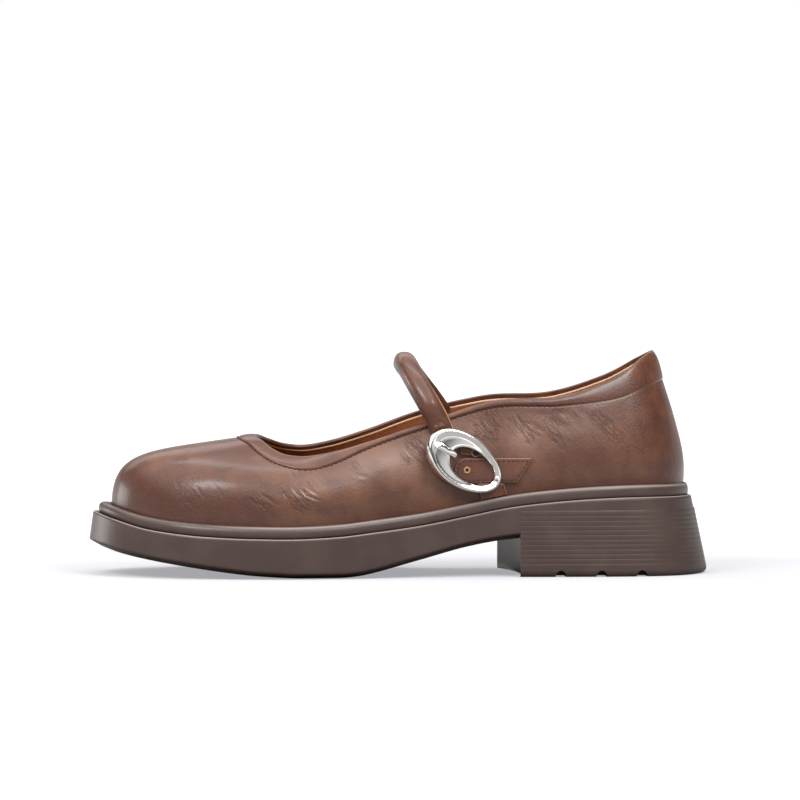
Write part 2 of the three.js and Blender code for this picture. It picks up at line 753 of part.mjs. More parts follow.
// The side tab: round under the buckle, cut at a slant at its end.
function tabGeometry() {
  const roundLength = TAB_WIDE / 2;
  const middle = sideHeight(BUCKLE_X, TAB_UP);
  const steps = 5;
  const columns = [];
  for (let i = 1; i <= steps; i++) {
    const angle = ((Math.PI / 2) * i) / steps;
    const x = TAB_START_X + roundLength * (1 - Math.cos(angle));
    const half = (TAB_WIDE / 2) * Math.sin(angle);
    columns.push({ lowX: x, highX: x, low: middle - half, high: middle + half });
  }
  const run = TAB_END_X - TAB_START_X - roundLength;
  for (let i = 1; i <= steps; i++) {
    const x = TAB_START_X + roundLength + (run * i) / steps;
    const slant = (TAB_SLANT * i) / steps;
    columns.push({ lowX: x - slant, highX: x, low: middle - roundLength, high: middle + roundLength });
  }
  return patchGeometry(columns);
}

// The anchor strip that runs from the tab down to the welt.
function anchorGeometry() {
  const steps = 4;
  const top = sideHeight(BUCKLE_X, TAB_UP) - TAB_WIDE / 2 - GAP;
  const columns = Array.from({ length: steps + 1 }, (_, i) => {
    const x = ANCHOR_X - ANCHOR_WIDE / 2 + (ANCHOR_WIDE * i) / steps;
    const low = ledge(x + ANCHOR_LEAN) + WELT_HEIGHT + 2 * GAP;
    return { lowX: x + ANCHOR_LEAN, highX: x, low, high: top };
  });
  return patchGeometry(columns);
}

// A point of the buckle: along its long axis, across it, and up from its back, which follows the side of the
// shoe and stands further off it at the broad end, over the strap.
function onBuckle(along, across, up) {
  const lean = THREE.MathUtils.degToRad(BUCKLE_LEAN);
  const x = BUCKLE_X + along * Math.cos(lean) - across * Math.sin(lean);
  const z = sideHeight(BUCKLE_X, BUCKLE_UP) + along * Math.sin(lean) + across * Math.cos(lean);
  const broad = (1 - along / (BUCKLE_LONG / 2)) / 2;
  const back = GAP + TAB_THICK + GAP + BUCKLE_LIFT * broad;
  return offSide(x, z, back + up);
}

// The oval buckle: broad at its upper end, with a domed face.
function buckleGeometry() {
  const points = 2 * SECTION_POINTS;
  const rings = Array.from({ length: points }, (_, i) => {
    const angle = (2 * Math.PI * i) / points;
    const egg = (1 - BUCKLE_EGG * Math.cos(angle)) * Math.sin(angle);
    const rim = [(BUCKLE_LONG / 2) * Math.cos(angle), (BUCKLE_WIDE / 2) * egg];
    const hole = [WINDOW_SHIFT + (WINDOW_LONG / 2) * Math.cos(angle), (WINDOW_WIDE / 2) * egg];
    const crown = BUCKLE_THICK * (1 + BUCKLE_CROWN * (1 - Math.cos(angle)));
    return BUCKLE_SECTION.map(({ inwards, up }) =>
      onBuckle(
        THREE.MathUtils.lerp(rim[0], hole[0], inwards),
        THREE.MathUtils.lerp(rim[1], hole[1], inwards),
        crown * up,
      ),
    );
  });
  return loft(rings.reverse(), true);
}

// The pin of the buckle, which lies over the broad end and reaches into the window.
function prongGeometry() {
  const start = WINDOW_SHIFT - WINDOW_LONG / 2;
  const turns = 8;
  const rings = PRONG_PATH.map(({ along, up, size }) =>
    Array.from({ length: turns }, (_, i) => {
      const angle = (2 * Math.PI * i) / turns;
      return onBuckle(
        start + along,
        -PRONG_SHIFT + (PRONG_WIDE / 2) * size * Math.cos(angle),
        up + (PRONG_THICK / 2) * size * Math.sin(angle),
      );
    }),
  );
  return loft(rings, false);
}

const leather = new THREE.MeshStandardMaterial({ color: 0x5a3a2a, roughness: 0.42, metalness: 0 });
const soleRubber = new THREE.MeshStandardMaterial({ color: 0x4a3c38, roughness: 0.5, metalness: 0 });
const insoleLeather = new THREE.MeshStandardMaterial({ color: 0x9a6238, roughness: 0.6, metalness: 0 });
const polishedMetal = new THREE.MeshStandardMaterial({ color: 0xd8d6d2, roughness: 0.12, metalness: 1 });

const shoe = new THREE.Group();

// Adds a named piece to the shoe.
function addPiece(name, geometry, material) {
  const mesh = new THREE.Mesh(geometry, material);
  mesh.name = name;
  shoe.add(mesh);
}

addPiece("outsole", outsoleGeometry(), soleRubber);
addPiece("heel", heelGeometry(), soleRubber);
addPiece("welt", weltGeometry(), soleRubber);
addPiece("insole", insoleGeometry(), insoleLeather);
addPiece("upper", upperGeometry(), leather);
addPiece("strap", strapGeometry(), leather);
addPiece("tab", tabGeometry(), leather);
addPiece("anchor", anchorGeometry(), leather);
addPiece("buckle", buckleGeometry(), polishedMetal);
addPiece("prong", prongGeometry(), polishedMetal);

// The origin is under the middle of the shoe, on the floor.
const middle = new THREE.Box3().setFromObject(shoe).getCenter(new THREE.Vector3());
shoe.position.set(-middle.x, -middle.y, 0);

export default shoe;
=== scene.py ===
"""A left mary jane shoe, dressed for its portrait.

Brown aged leather with a stitched collar band, a rolled instep strap with a polished oval buckle, and a
moulded sole with a ribbed block heel. Lengths are in millimetres until a mesh is laid, which turns them into
metres.
"""

import itertools
import logging
import math
from collections.abc import Callable, Sequence
from dataclasses import dataclass
from enum import Enum

import bmesh
import bpy
import numpy as np
from mathutils import Matrix, Vector


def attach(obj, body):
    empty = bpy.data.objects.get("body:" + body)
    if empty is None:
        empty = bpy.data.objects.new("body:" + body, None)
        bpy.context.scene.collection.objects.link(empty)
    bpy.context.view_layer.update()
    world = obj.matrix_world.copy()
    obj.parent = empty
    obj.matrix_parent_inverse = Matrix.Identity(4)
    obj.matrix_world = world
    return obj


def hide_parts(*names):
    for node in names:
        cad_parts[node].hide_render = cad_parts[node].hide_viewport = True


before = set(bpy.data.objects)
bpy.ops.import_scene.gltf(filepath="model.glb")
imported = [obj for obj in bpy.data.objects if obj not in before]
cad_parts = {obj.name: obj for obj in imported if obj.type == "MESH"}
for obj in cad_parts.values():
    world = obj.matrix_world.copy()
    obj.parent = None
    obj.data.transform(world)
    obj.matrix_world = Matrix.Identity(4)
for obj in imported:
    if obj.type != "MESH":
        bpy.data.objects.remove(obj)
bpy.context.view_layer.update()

LOG = logging.getLogger("shoe")
Points = np.ndarray
MM = 0.001


class Slot(Enum):
    """Material slots of the record."""

    LEATHER = "leather"
    SOLE = "sole"
    INSOLE = "insole"
    METAL = "metal"


class Side(Enum):
    """Sides of the shoe, as the row of the last under the buckle or across from it."""

    OUTER = 7.5
    INNER = 16.8


def lerp(low: Points, high: Points, share: Points) -> Points:
    """Value a share of the way from low to high."""
    return low + (high - low) * share


def unit(vectors: Points) -> Points:
    """Vectors of length 1."""
    return vectors / np.maximum(np.linalg.norm(vectors, axis=-1, keepdims=True), 1e-12)


def along_axis(x: Points, y: Points, z: Points) -> Points:
    """Points from three arrays of coordinates."""
    return np.stack(np.broadcast_arrays(x, y, z), axis=-1).astype(float)


def bump(distance: Points, width: float) -> Points:
    """A soft bump of height 1 and about that width."""
    return np.exp(-((distance / width) ** 2))


class Table:
    """Rows of shares with named columns, read as smooth curves."""

    def __init__(self, columns: str, rows: Sequence[Sequence[float]]) -> None:
        """Keeps the rows.

        Args:
            columns: Names of the columns.
            rows: One list of numbers a row.
        """
        self.names = columns.split()
        self.rows = np.array(rows, float)

    def column(self, name: str) -> Points:
        """All values of a column."""
        return self.rows[:, self.names.index(name)]

    def closed(self, name: str, place: Points) -> Points:
        """Value at a place counted in rows, where the last row is followed by the first.

        Args:
            name: Column.
            place: Places, counted in rows.

        Returns:
            The values there.
        """
        values = self.column(name)
        place = np.asarray(place, float)
        row = np.floor(place).astype(int)
        t = place - row
        a, b, c, d = (values[(row + k) % len(values)] for k in (-1, 0, 1, 2))
        from_b, from_c = (c - a) / 2, (d - b) / 2
        bend = 2 * (b - c) + from_b + from_c
        return b + t * (from_b + t * (3 * (c - b) - 2 * from_b - from_c + t * bend))

    def opened(self, name: str, share: Points) -> Points:
        """Value at a share that is looked up in the first column.

        Args:
            name: Column.
            share: Values of the first column.

        Returns:
            The values there.
        """
        keys, values = self.rows[:, 0], self.column(name)
        share = np.clip(share, keys[0], keys[-1])
        row = np.clip(np.searchsorted(keys, share, side="right") - 1, 0, len(keys) - 2)
        before = np.maximum(np.arange(len(keys)) - 1, 0)
        after = np.minimum(np.arange(len(keys)) + 1, len(keys) - 1)
        slopes = (values[after] - values[before]) / (keys[after] - keys[before])
        span = keys[row + 1] - keys[row]
        t = (share - keys[row]) / span
        low, high = values[row], values[row + 1]
        start, end = slopes[row] * span, slopes[row + 1] * span
        bend = 2 * (low - high) + start + end
        return low + t * (start + t * (3 * (high - low) - 2 * start - end + t * bend))


OUTLINE = Table(
    "along across lip flare",
    [
        [-1.0, 0.04, 1.07, 0.28],
        [-0.972, -0.32, 0.97, 0.25],
        [-0.885, -0.61, 0.92, 0.2],
        [-0.742, -0.87, 0.87, 0.13],
        [-0.548, -0.985, 0.84, 0.08],
        [-0.355, -1.0, 0.81, 0.06],
        [-0.145, -0.915, 0.78, 0.06],
        [0.08, -0.785, 0.74, 0.08],
        [0.32, -0.705, 0.7, 0.16],
        [0.565, -0.69, 0.67, 0.32],
        [0.78, -0.64, 0.64, 0.5],
        [0.932, -0.46, 0.6, 0.76],
        [1.0, 0.0, 0.56, 0.97],
        [0.932, 0.45, 0.6, 0.76],
        [0.78, 0.62, 0.64, 0.5],
        [0.565, 0.645, 0.67, 0.32],
        [0.32, 0.6, 0.7, 0.16],
        [0.08, 0.635, 0.74, 0.08],
        [-0.145, 0.815, 0.78, 0.06],
        [-0.355, 0.965, 0.81, 0.06],
        [-0.535, 0.99, 0.84, 0.08],
        [-0.73, 0.9, 0.87, 0.13],
        [-0.885, 0.66, 0.92, 0.2],
        [-0.972, 0.38, 0.97, 0.25],
    ],
)

WALLS = Table(
    "along across height rise swell reach drop band",
    [
        [-0.5, 0.02, 0.684, 0.49, 0.04, 1.02, 0.118, 0.55],
        [-0.494, -0.19, 0.678, 0.48, 0.045, 0.96, 0.115, 0.545],
        [-0.474, -0.37, 0.655, 0.45, 0.05, 0.79, 0.115, 0.52],
        [-0.437, -0.52, 0.601, 0.4, 0.05, 0.57, 0.115, 0.6],
        [-0.383, -0.63, 0.562, 0.34, 0.05, 0.37, 0.12, 0.7],
        [-0.29, -0.7, 0.558, 0.29, 0.05, 0.24, 0.14, 0.7],
        [-0.105, -0.71, 0.617, 0.27, 0.05, 0.155, 0.17, 0.24],
        [0.089, -0.68, 0.69, 0.26, 0.06, 0.1, 0.2, 0.18],
        [0.306, -0.64, 0.745, 0.26, 0.07, 0.08, 0.23, 0.21],
        [0.548, -0.59, 0.714, 0.26, 0.08, 0.09, 0.24, 0.3],
        [0.738, -0.5, 0.81, 0.27, 0.09, 0.1, 0.26, 0.68],
        [0.857, -0.33, 0.958, 0.28, 0.11, 0.11, 0.29, 0.95],
        [0.903, 0.0, 1.0, 0.28, 0.11, 0.12, 0.33, 1.0],
        [0.855, 0.33, 0.945, 0.28, 0.11, 0.11, 0.29, 0.92],
        [0.73, 0.49, 0.82, 0.27, 0.09, 0.09, 0.26, 0.66],
        [0.54, 0.575, 0.732, 0.26, 0.075, 0.08, 0.24, 0.3],
        [0.306, 0.62, 0.768, 0.26, 0.08, 0.08, 0.23, 0.21],
        [0.089, 0.66, 0.752, 0.26, 0.08, 0.11, 0.2, 0.18],
        [-0.105, 0.705, 0.668, 0.27, 0.06, 0.165, 0.17, 0.24],
        [-0.29, 0.715, 0.604, 0.29, 0.05, 0.25, 0.14, 0.7],
        [-0.383, 0.655, 0.612, 0.34, 0.05, 0.38, 0.12, 0.7],
        [-0.44, 0.545, 0.645, 0.4, 0.05, 0.58, 0.115, 0.6],
        [-0.476, 0.39, 0.674, 0.45, 0.05, 0.8, 0.115, 0.52],
        [-0.495, 0.21, 0.683, 0.48, 0.045, 0.96, 0.115, 0.545],
    ],
)

SOLE_SIDE = Table(
    "along climb curl spring arch",
    [
        [-1.09, 0, 1.24, 1.03, 0],
        [-1.06, 0, 1.16, 0.97, 0],
        [-0.985, 0, 0.85, 0.8, 0],
        [-0.88, 0, 0.45, 0.6, 0],
        [-0.73, 0, 0.18, 0.37, 0],
        [-0.6, 0, 0.06, 0.19, 0],
        [-0.5, 0, 0.015, 0.08, 0],
        [-0.357, 0, 0, 0, 0],
        [-0.21, 0.055, 0, 0, 0],
        [-0.12, 0.13, 0, 0, 0.075],
        [0.067, 0.31, 0, 0, 0.45],
        [0.23, 0.54, 0, 0, 0.79],
        [0.38, 0.755, 0, 0, 0.99],
        [0.53, 0.885, 0, 0, 1.05],
        [0.68, 0.965, 0, 0, 1.05],
        [0.83, 1, 0, 0, 1.05],
        [1.1, 1, 0, 0, 1.05],
    ],
)


@dataclass(frozen=True)
class Last:
    """The form that the leather and the sole are shaped on."""

    length: float = 248
    ball: float = 90
    back: float = 62.5
    wall: float = 2
    gap: float = 0.3
    fore_ledge: float = 17
    seat_ledge: float = 33.9
    toe_rise: float = 8.8
    toe_spring: float = 12.6
    shank_lift: float = 16
    lip_reach: float = 7.4
    heel_flare: float = 7.2
    welt_height: float = 5.2
    band_back: float = 12.8
    origin: tuple[float, float, float] = (-0.6825, 0.1993, 0)

    def ledge(self, x: Points) -> Points:
        """Height of the ledge under the welt at x.

        Args:
            x: Along the shoe.

        Returns:
            Heights.
        """
        share = x / (self.length / 2)
        climb = (self.seat_ledge - self.fore_ledge) * SOLE_SIDE.opened("climb", share)
        return self.fore_ledge + climb + self.toe_rise * SOLE_SIDE.opened("curl", share)

    def underside(self, x: Points) -> Points:
        """Height of the underside in front of the heel at x.

        Args:
            x: Along the shoe.

        Returns:
            Heights.
        """
        share = x / (self.length / 2)
        spring = self.toe_spring * SOLE_SIDE.opened("spring", share)
        return np.maximum(spring + self.shank_lift * SOLE_SIDE.opened("arch", share), 0)

    def plan(self, place: Points) -> Points:
        """Point of the line where the leather meets the sole, in plan."""
        x = self.length / 2 * OUTLINE.closed("along", place)
        return along_axis(x, self.ball / 2 * OUTLINE.closed("across", place), 0 * x)

    def topline(self, place: Points) -> Points:
        """Point of the topline.

        Args:
            place: Places round the shoe, in rows of the outline.

        Returns:
            Points.
        """
        x = self.length / 2 * WALLS.closed("along", place)
        z = self.ledge(x) + self.back * WALLS.closed("height", place)
        return along_axis(x, self.ball / 2 * WALLS.closed("across", place), z)

    def outward(self, curve: Callable[[Points], Points], place: Points) -> Points:
        """Outward direction in plan of a closed curve.

        Args:
            curve: The curve, as a function of the place.
            place: Places round the shoe, in rows of the outline.

        Returns:
            Directions in plan.
        """
        run = curve(place + 0.05) - curve(place - 0.05)
        run[..., 2] = 0
        run = unit(run)
        return along_axis(run[..., 1], -run[..., 0], 0)

    def offset(self, place: Points, distance: Points) -> Points:
        """Outline moved outwards by a distance."""
        return self.plan(place) + self.outward(self.plan, place) * np.asarray(distance)[..., None]

    def surface(self, place: Points, v: Points) -> Points:
        """Outer face of the upper: v runs from 0 at the sole to 1 at the topline.

        Args:
            place: Places round the shoe, in rows of the outline.
            v: Shares of the way up the leather.

        Returns:
            Points.
        """
        place, v = np.broadcast_arrays(np.asarray(place, float), np.asarray(v, float))
        foot = self.plan(place)
        foot[..., 2] = self.ledge(foot[..., 0]) + self.gap
        top = self.topline(place)
        half = self.ball / 2
        low = foot + self.outward(self.plan, place) * (half * WALLS.closed("swell", place))[..., None]
        low[..., 2] += self.back * WALLS.closed("rise", place)
        reach = (half * WALLS.closed("reach", place))[..., None]
        high = top + self.outward(self.topline, place) * reach
        high[..., 2] -= self.back * WALLS.closed("drop", place)
        t = v[..., None]
        s = 1 - t
        return s**3 * foot + 3 * s * s * t * low + 3 * s * t * t * high + t**3 * top

    def climb(self, place: Points, v: Points) -> Points:
        """Direction up the leather."""
        above = self.surface(place, np.minimum(v + 0.02, 1))
        return unit(above - self.surface(place, np.maximum(v - 0.02, 0)))

    def normal(self, place: Points, v: Points) -> Points:
        """Direction out of the leather."""
        run = self.surface(place + 0.02, v) - self.surface(place - 0.02, v)
        return unit(np.cross(run, self.climb(place, v)))

    def off(self, place: Points, v: Points, distance: Points) -> Points:
        """Point at a distance from the outer face."""
        return self.surface(place, v) + self.normal(place, v) * np.asarray(distance)[..., None]

    def at_height(self, place: Points, height: Points, distance: Points) -> Points:
        """Point at a distance off the leather, at a height above its foot.

        Args:
            place: Places round the shoe, in rows of the outline.
            height: Height above the foot of the leather.
            distance: Distance outwards.

        Returns:
            Points.
        """
        place = np.asarray(place, float)
        v = np.full(place.shape, 0.05)
        base = self.ledge(self.plan(place)[..., 0]) + self.gap + height
        for _ in range(8):
            here = self.surface(place, v)[..., 2]
            v = v + (base - here) / ((self.surface(place, v + 0.01)[..., 2] - here) / 0.01)
        return self.off(place, v, distance)

    def band_depth(self, place: Points) -> Points:
        """Width of the collar band."""
        return self.band_back * WALLS.closed("band", place)

    def below_top(self, place: Points, distance: Points) -> Points:
        """Value of v at a distance below the topline."""
        step = np.linalg.norm(self.surface(place, 1) - self.surface(place, 0.9), axis=-1) / 0.1
        return 1 - distance / step

    def find(self, x: Points, z: Points, side: Side = Side.OUTER) -> tuple[Points, Points]:
        """Place and v of the leather that is seen at x and z from a side.

        Args:
            x: Along the shoe.
            z: Above the floor.
            side: Side that is looked at.

        Returns:
            Places and values of v.
        """
        x, z = np.broadcast_arrays(np.asarray(x, float), np.asarray(z, float))
        place, v = np.full(x.shape, side.value), np.full(x.shape, 0.5)
        for _ in range(12):
            here = self.surface(place, v)
            by_place = (self.surface(place + 0.01, v) - here) / 0.01
            by_v = (self.surface(place, v + 0.01) - here) / 0.01
            miss_x, miss_z = x - here[..., 0], z - here[..., 2]
            area = by_place[..., 0] * by_v[..., 2] - by_place[..., 2] * by_v[..., 0]
            place = place + (miss_x * by_v[..., 2] - miss_z * by_v[..., 0]) / area
            v = v + (miss_z * by_place[..., 0] - miss_x * by_place[..., 2]) / area
        return place, v

    def off_side(self, x: Points, z: Points, distance: Points, side: Side = Side.OUTER) -> Points:
        """Point at a distance off the leather that is seen at x and z."""
        place, v = self.find(x, z, side)
        return self.off(place, v, distance)

    def topline_at(self, x: float, side: Side) -> Points:
        """Point of the topline at x.

        Args:
            x: Along the shoe.
            side: Side of the shoe.

        Returns:
            The point.
        """
        place = np.array(side.value)
        for _ in range(8):
            here = self.topline(place)[..., 0]
            place = place + (x - here) * 0.01 / (self.topline(place + 0.01)[..., 0] - here)
        return self.topline(place)

    def side_height(self, x: float, share: float) -> float:
        """Height on the outer side, as a share of the way from the welt to the topline."""
        low = self.ledge(np.array(x)) + self.welt_height
        return float(lerp(low, self.topline_at(x, Side.OUTER)[2], share))

    def sole_side(self, place: Points, z: Points, extra: Points) -> Points:
        """Side of the sole and the heel at a height.

        Args:
            place: Places round the shoe, in rows of the outline.
            z: Above the floor.
            extra: How far out beyond it.

        Returns:
            Points.
        """
        x = self.plan(place)[..., 0]
        arch = np.minimum(SOLE_SIDE.opened("arch", x / (self.length / 2)), 1)
        depth = lerp(self.ledge(x) - self.underside(x), self.ledge(x), arch)
        down = np.clip((self.ledge(x) - z) / depth, 0, 1)
        lip = self.lip_reach * OUTLINE.closed("lip", place)
        flare = self.heel_flare * OUTLINE.closed("flare", place)
        side = self.offset(place, lip + flare * down + extra)
        side[..., 2] = z
        return side

    def in_frame(self, points: Points) -> Points:
        """Points in metres, in the frame of the CAD model."""
        return (points + np.array(self.origin)) * MM


LAST = Last()


def deselect() -> None:
    """Leaves nothing selected."""
    for thing in bpy.context.selected_objects:
        thing.select_set(False)


def make_active(piece: bpy.types.Object) -> None:
    """Selects one piece alone.

    Args:
        piece: The piece.
    """
    deselect()
    piece.select_set(True)
    bpy.context.view_layer.objects.active = piece


def edit_all(piece: bpy.types.Object, *steps: Callable[[], object]) -> None:
    """Runs operators on the whole mesh of a piece in edit mode.

    Args:
        piece: The piece.
        steps: Calls of operators.
    """
    make_active(piece)
    bpy.ops.object.mode_set(mode="EDIT")
    bpy.ops.mesh.select_all(action="SELECT")
    for step in steps:
        step()
    bpy.ops.object.mode_set(mode="OBJECT")


def lay_grid(name: str, points: Points, shades: dict[str, Points] | None = None) -> bpy.types.Object:
    """Adds a grid, moves its vertices to the given points and joins those that meet.

    Args:
        name: Name of the piece.
        points: Rows of columns of points, in millimetres.
        shades: Numbers that the finish reads, one for each point.

    Returns:
        The piece.
    """
    rows, columns = points.shape[:2]
    deselect()
    bpy.ops.mesh.primitive_grid_add(x_subdivisions=columns - 1, y_subdivisions=rows - 1, size=1)
    piece = bpy.context.object
    piece.name = piece.data.name = name
    corners = np.empty(len(piece.data.vertices) * 3)
    piece.data.vertices.foreach_get("co", corners)
    corners = corners.reshape(-1, 3)
    column = np.rint((corners[:, 0] + 0.5) * (columns - 1)).astype(int)
    row = np.rint((corners[:, 1] + 0.5) * (rows - 1)).astype(int)
    piece.data.vertices.foreach_set("co", LAST.in_frame(points[row, column]).ravel())
    for shade, values in (shades or {}).items():
        attribute = piece.data.attributes.new(shade, "FLOAT", "POINT")
        spread = np.broadcast_to(values, (rows, columns))[row, column]
        attribute.data.foreach_set("value", spread.astype(np.float32))
    edit_all(
        piece,
        lambda: bpy.ops.mesh.remove_doubles(threshold=2e-6),
        lambda: bpy.ops.mesh.dissolve_degenerate(threshold=1e-7),
    )
    return piece


def smooth(piece: bpy.types.Object, angle: float = 40) -> None:
    """Turns the faces outwards and shades the piece smoothly up to an angle in degrees.

    Args:
        piece: The piece.
        angle: Largest angle that still shades smoothly, in degrees.
    """
    edit_all(piece, lambda: bpy.ops.mesh.normals_make_consistent(inside=False))
    make_active(piece)
    bpy.ops.object.shade_smooth_by_angle(angle=math.radians(angle))


def sweep(
    name: str, line: Points, outs: Points, section: Points, widths: Points, heights: Points
) -> bpy.types.Object:
    """Sweeps a section along a line and closes its ends.

    Args:
        name: Name of the piece.
        line: Points of the line.
        outs: Direction away from what the piece lies on, at each point.
        section: Loop of shares, across and out.
        widths: Scale across, at each point.
        heights: Scale outwards, at each point.

    Returns:
        The piece.
    """
    runs = unit(np.gradient(line, axis=0))
    sides = unit(np.cross(outs, runs))
    outs = unit(np.cross(runs, sides))
    loop = np.vstack([section, section[:1]])
    rings = (
        line[:, None]
        + sides[:, None] * (widths[:, None] * loop[None, :, 0])[..., None]
        + outs[:, None] * (heights[:, None] * loop[None, :, 1])[..., None]
    )
    first = np.repeat(rings[:1].mean(axis=1, keepdims=True), rings.shape[1], axis=1)
    last = np.repeat(rings[-1:].mean(axis=1, keepdims=True), rings.shape[1], axis=1)
    return lay_grid(name, np.concatenate([first, rings, last]))


def through(points: Points, count: int) -> Points:
    """A smooth curve through points of any dimension.

    Args:
        points: The points.
        count: How many points the curve gets.

    Returns:
        Points of the curve.
    """
    points = np.asarray(points, float)
    ends = np.vstack([2 * points[0] - points[1], points, 2 * points[-1] - points[-2]])
    t = np.linspace(0, len(points) - 1, count)
    row = np.minimum(t.astype(int), len(points) - 2)
    share = (t - row)[:, None]
    steps = np.sqrt(np.maximum(np.linalg.norm(np.diff(ends, axis=0), axis=1), 1e-9))
    before, here, after = (steps[row + k][:, None] for k in (0, 1, 2))
    a, b, c, d = (ends[row + k] for k in (0, 1, 2, 3))
    start = ((b - a) / before - (c - a) / (before + here) + (c - b) / here) * here
    end = ((c - b) / here - (d - b) / (here + after) + (d - c) / after) * here
    bend = 2 * (b - c) + start + end
    return b + share * (start + share * (3 * (c - b) - 2 * start - end + share * bend))


def even(points: Points, pitch: float) -> tuple[Points, Points]:
    """Points at equal steps along a line.

    Args:
        points: The line.
        pitch: Step.

    Returns:
        The points, and where they lie as shares of the line's indices.
    """
    lengths = np.concatenate([[0], np.cumsum(np.linalg.norm(np.diff(points, axis=0), axis=1))])
    wanted = np.arange(pitch / 2, lengths[-1], pitch)
    index = np.interp(wanted, lengths, np.arange(len(points)))
    return np.stack([np.interp(wanted, lengths, points[:, k]) for k in range(3)], axis=1), index


def sew(
    name: str, line: Points, outs: Points, pitch: float, size: tuple[float, float, float]
) -> bpy.types.Object:
    """Sews a row of stitches along a line: one is modelled and then copied.

    Args:
        name: Name of the piece.
        line: Points of the line.
        outs: Direction out of the leather at each point.
        pitch: From one stitch to the next.
        size: Length, width and height of a stitch.

    Returns:
        The piece.
    """
    deselect()
    bpy.ops.mesh.primitive_uv_sphere_add(segments=6, ring_count=4, radius=0.5)
    stitch = bpy.context.object
    laid = {"value": math.pi / 2, "orient_axis": "Y", "center_override": (0, 0, 0)}
    edit_all(stitch, lambda: bpy.ops.transform.rotate(**laid))
    centres, index = even(line, pitch)
    runs = unit(np.gradient(centres, axis=0))
    normals = np.stack([np.interp(index, np.arange(len(outs)), outs[:, k]) for k in range(3)], axis=1)
    mesh = bmesh.new()
    for centre, run, normal in zip(LAST.in_frame(centres), runs, normals):
        side = unit(np.cross(normal, run))
        out = np.cross(run, side)
        turn = Matrix(np.stack([run * size[0], side * size[1], out * size[2]], axis=1) * MM).to_4x4()
        copy = stitch.data.copy()
        copy.transform(Matrix.Translation(Vector(centre)) @ turn)
        mesh.from_mesh(copy)
        bpy.data.meshes.remove(copy)
    mesh.to_mesh(stitch.data)
    mesh.free()
    stitch.name = stitch.data.name = name
    smooth(stitch, 80)
    return stitch


def cut(piece: bpy.types.Object, cutter: bpy.types.Object) -> None:
    """Takes a cutter away from a piece, and the cutter out of the scene.

    Args:
        piece: The piece.
        cutter: What is taken away.
    """
    make_active(piece)
    modifier = piece.modifiers.new("cut", "BOOLEAN")
    modifier.operation, modifier.object, modifier.solver = "DIFFERENCE", cutter, "EXACT"
    bpy.ops.object.modifier_apply(modifier=modifier.name)
    bpy.data.objects.remove(cutter)


def join(pieces: Sequence[bpy.types.Object]) -> bpy.types.Object:
    """Joins pieces into the first of them.

    Args:
        pieces: The pieces.

    Returns:
        The first piece, which now holds all.
    """
    make_active(pieces[0])
    for other in pieces[1:]:
        other.select_set(True)
    bpy.ops.object.join()
    return bpy.context.object


def round_section(count: int) -> Points:
    """A round section of that many sides and radius 1."""
    angle = np.linspace(0, 2 * np.pi, count + 1)[:-1]
    return np.stack([np.cos(angle), np.sin(angle)], axis=1)


def colour(red: float, green: float, blue: float) -> tuple[float, float, float, float]:
    """A screen colour from 0 to 255 as a scene colour."""
    values = [c / 255 / 12.92 if c < 11 else ((c / 255 + 0.055) / 1.055) ** 2.4 for c in (red, green, blue)]
    return (*values, 1.0)


class Term:
    """A number that comes out of a node, for use in expressions."""

    def __init__(self, finish: "Finish", socket: bpy.types.NodeSocket) -> None:
        """Wraps a socket of a finish."""
        self.finish, self.socket = finish, socket

    def _with(self, operation: str, *values: "Term | float") -> "Term":
        """A Math node on some values."""
        return self.finish.node("ShaderNodeMath", {"operation": operation}, dict(enumerate(values)))

    def __add__(self, other: "Term | float") -> "Term":
        """Sum."""
        return self._with("ADD", self, other)

    def __sub__(self, other: "Term | float") -> "Term":
        """Difference."""
        return self._with("SUBTRACT", self, other)

    def __rsub__(self, other: float) -> "Term":
        """Difference from a number."""
        return self._with("SUBTRACT", other, self)

    def __mul__(self, other: "Term | float") -> "Term":
        """Product."""
        return self._with("MULTIPLY", self, other)

    def __pow__(self, other: float) -> "Term":
        """Power."""
        return self._with("POWER", self, other)

    __radd__ = __add__
    __rmul__ = __mul__

    def band(self, low: float, high: float) -> "Term":
        """0 below low and 1 above high, with a soft step.

        Args:
            low: Value below which it is 0.
            high: Value above which it is 1.

        Returns:
            The mask.
        """
        settings = {"interpolation_type": "SMOOTHSTEP"}
        links = {"Value": self, "From Min": low, "From Max": high}
        return self.finish.node("ShaderNodeMapRange", settings, links)


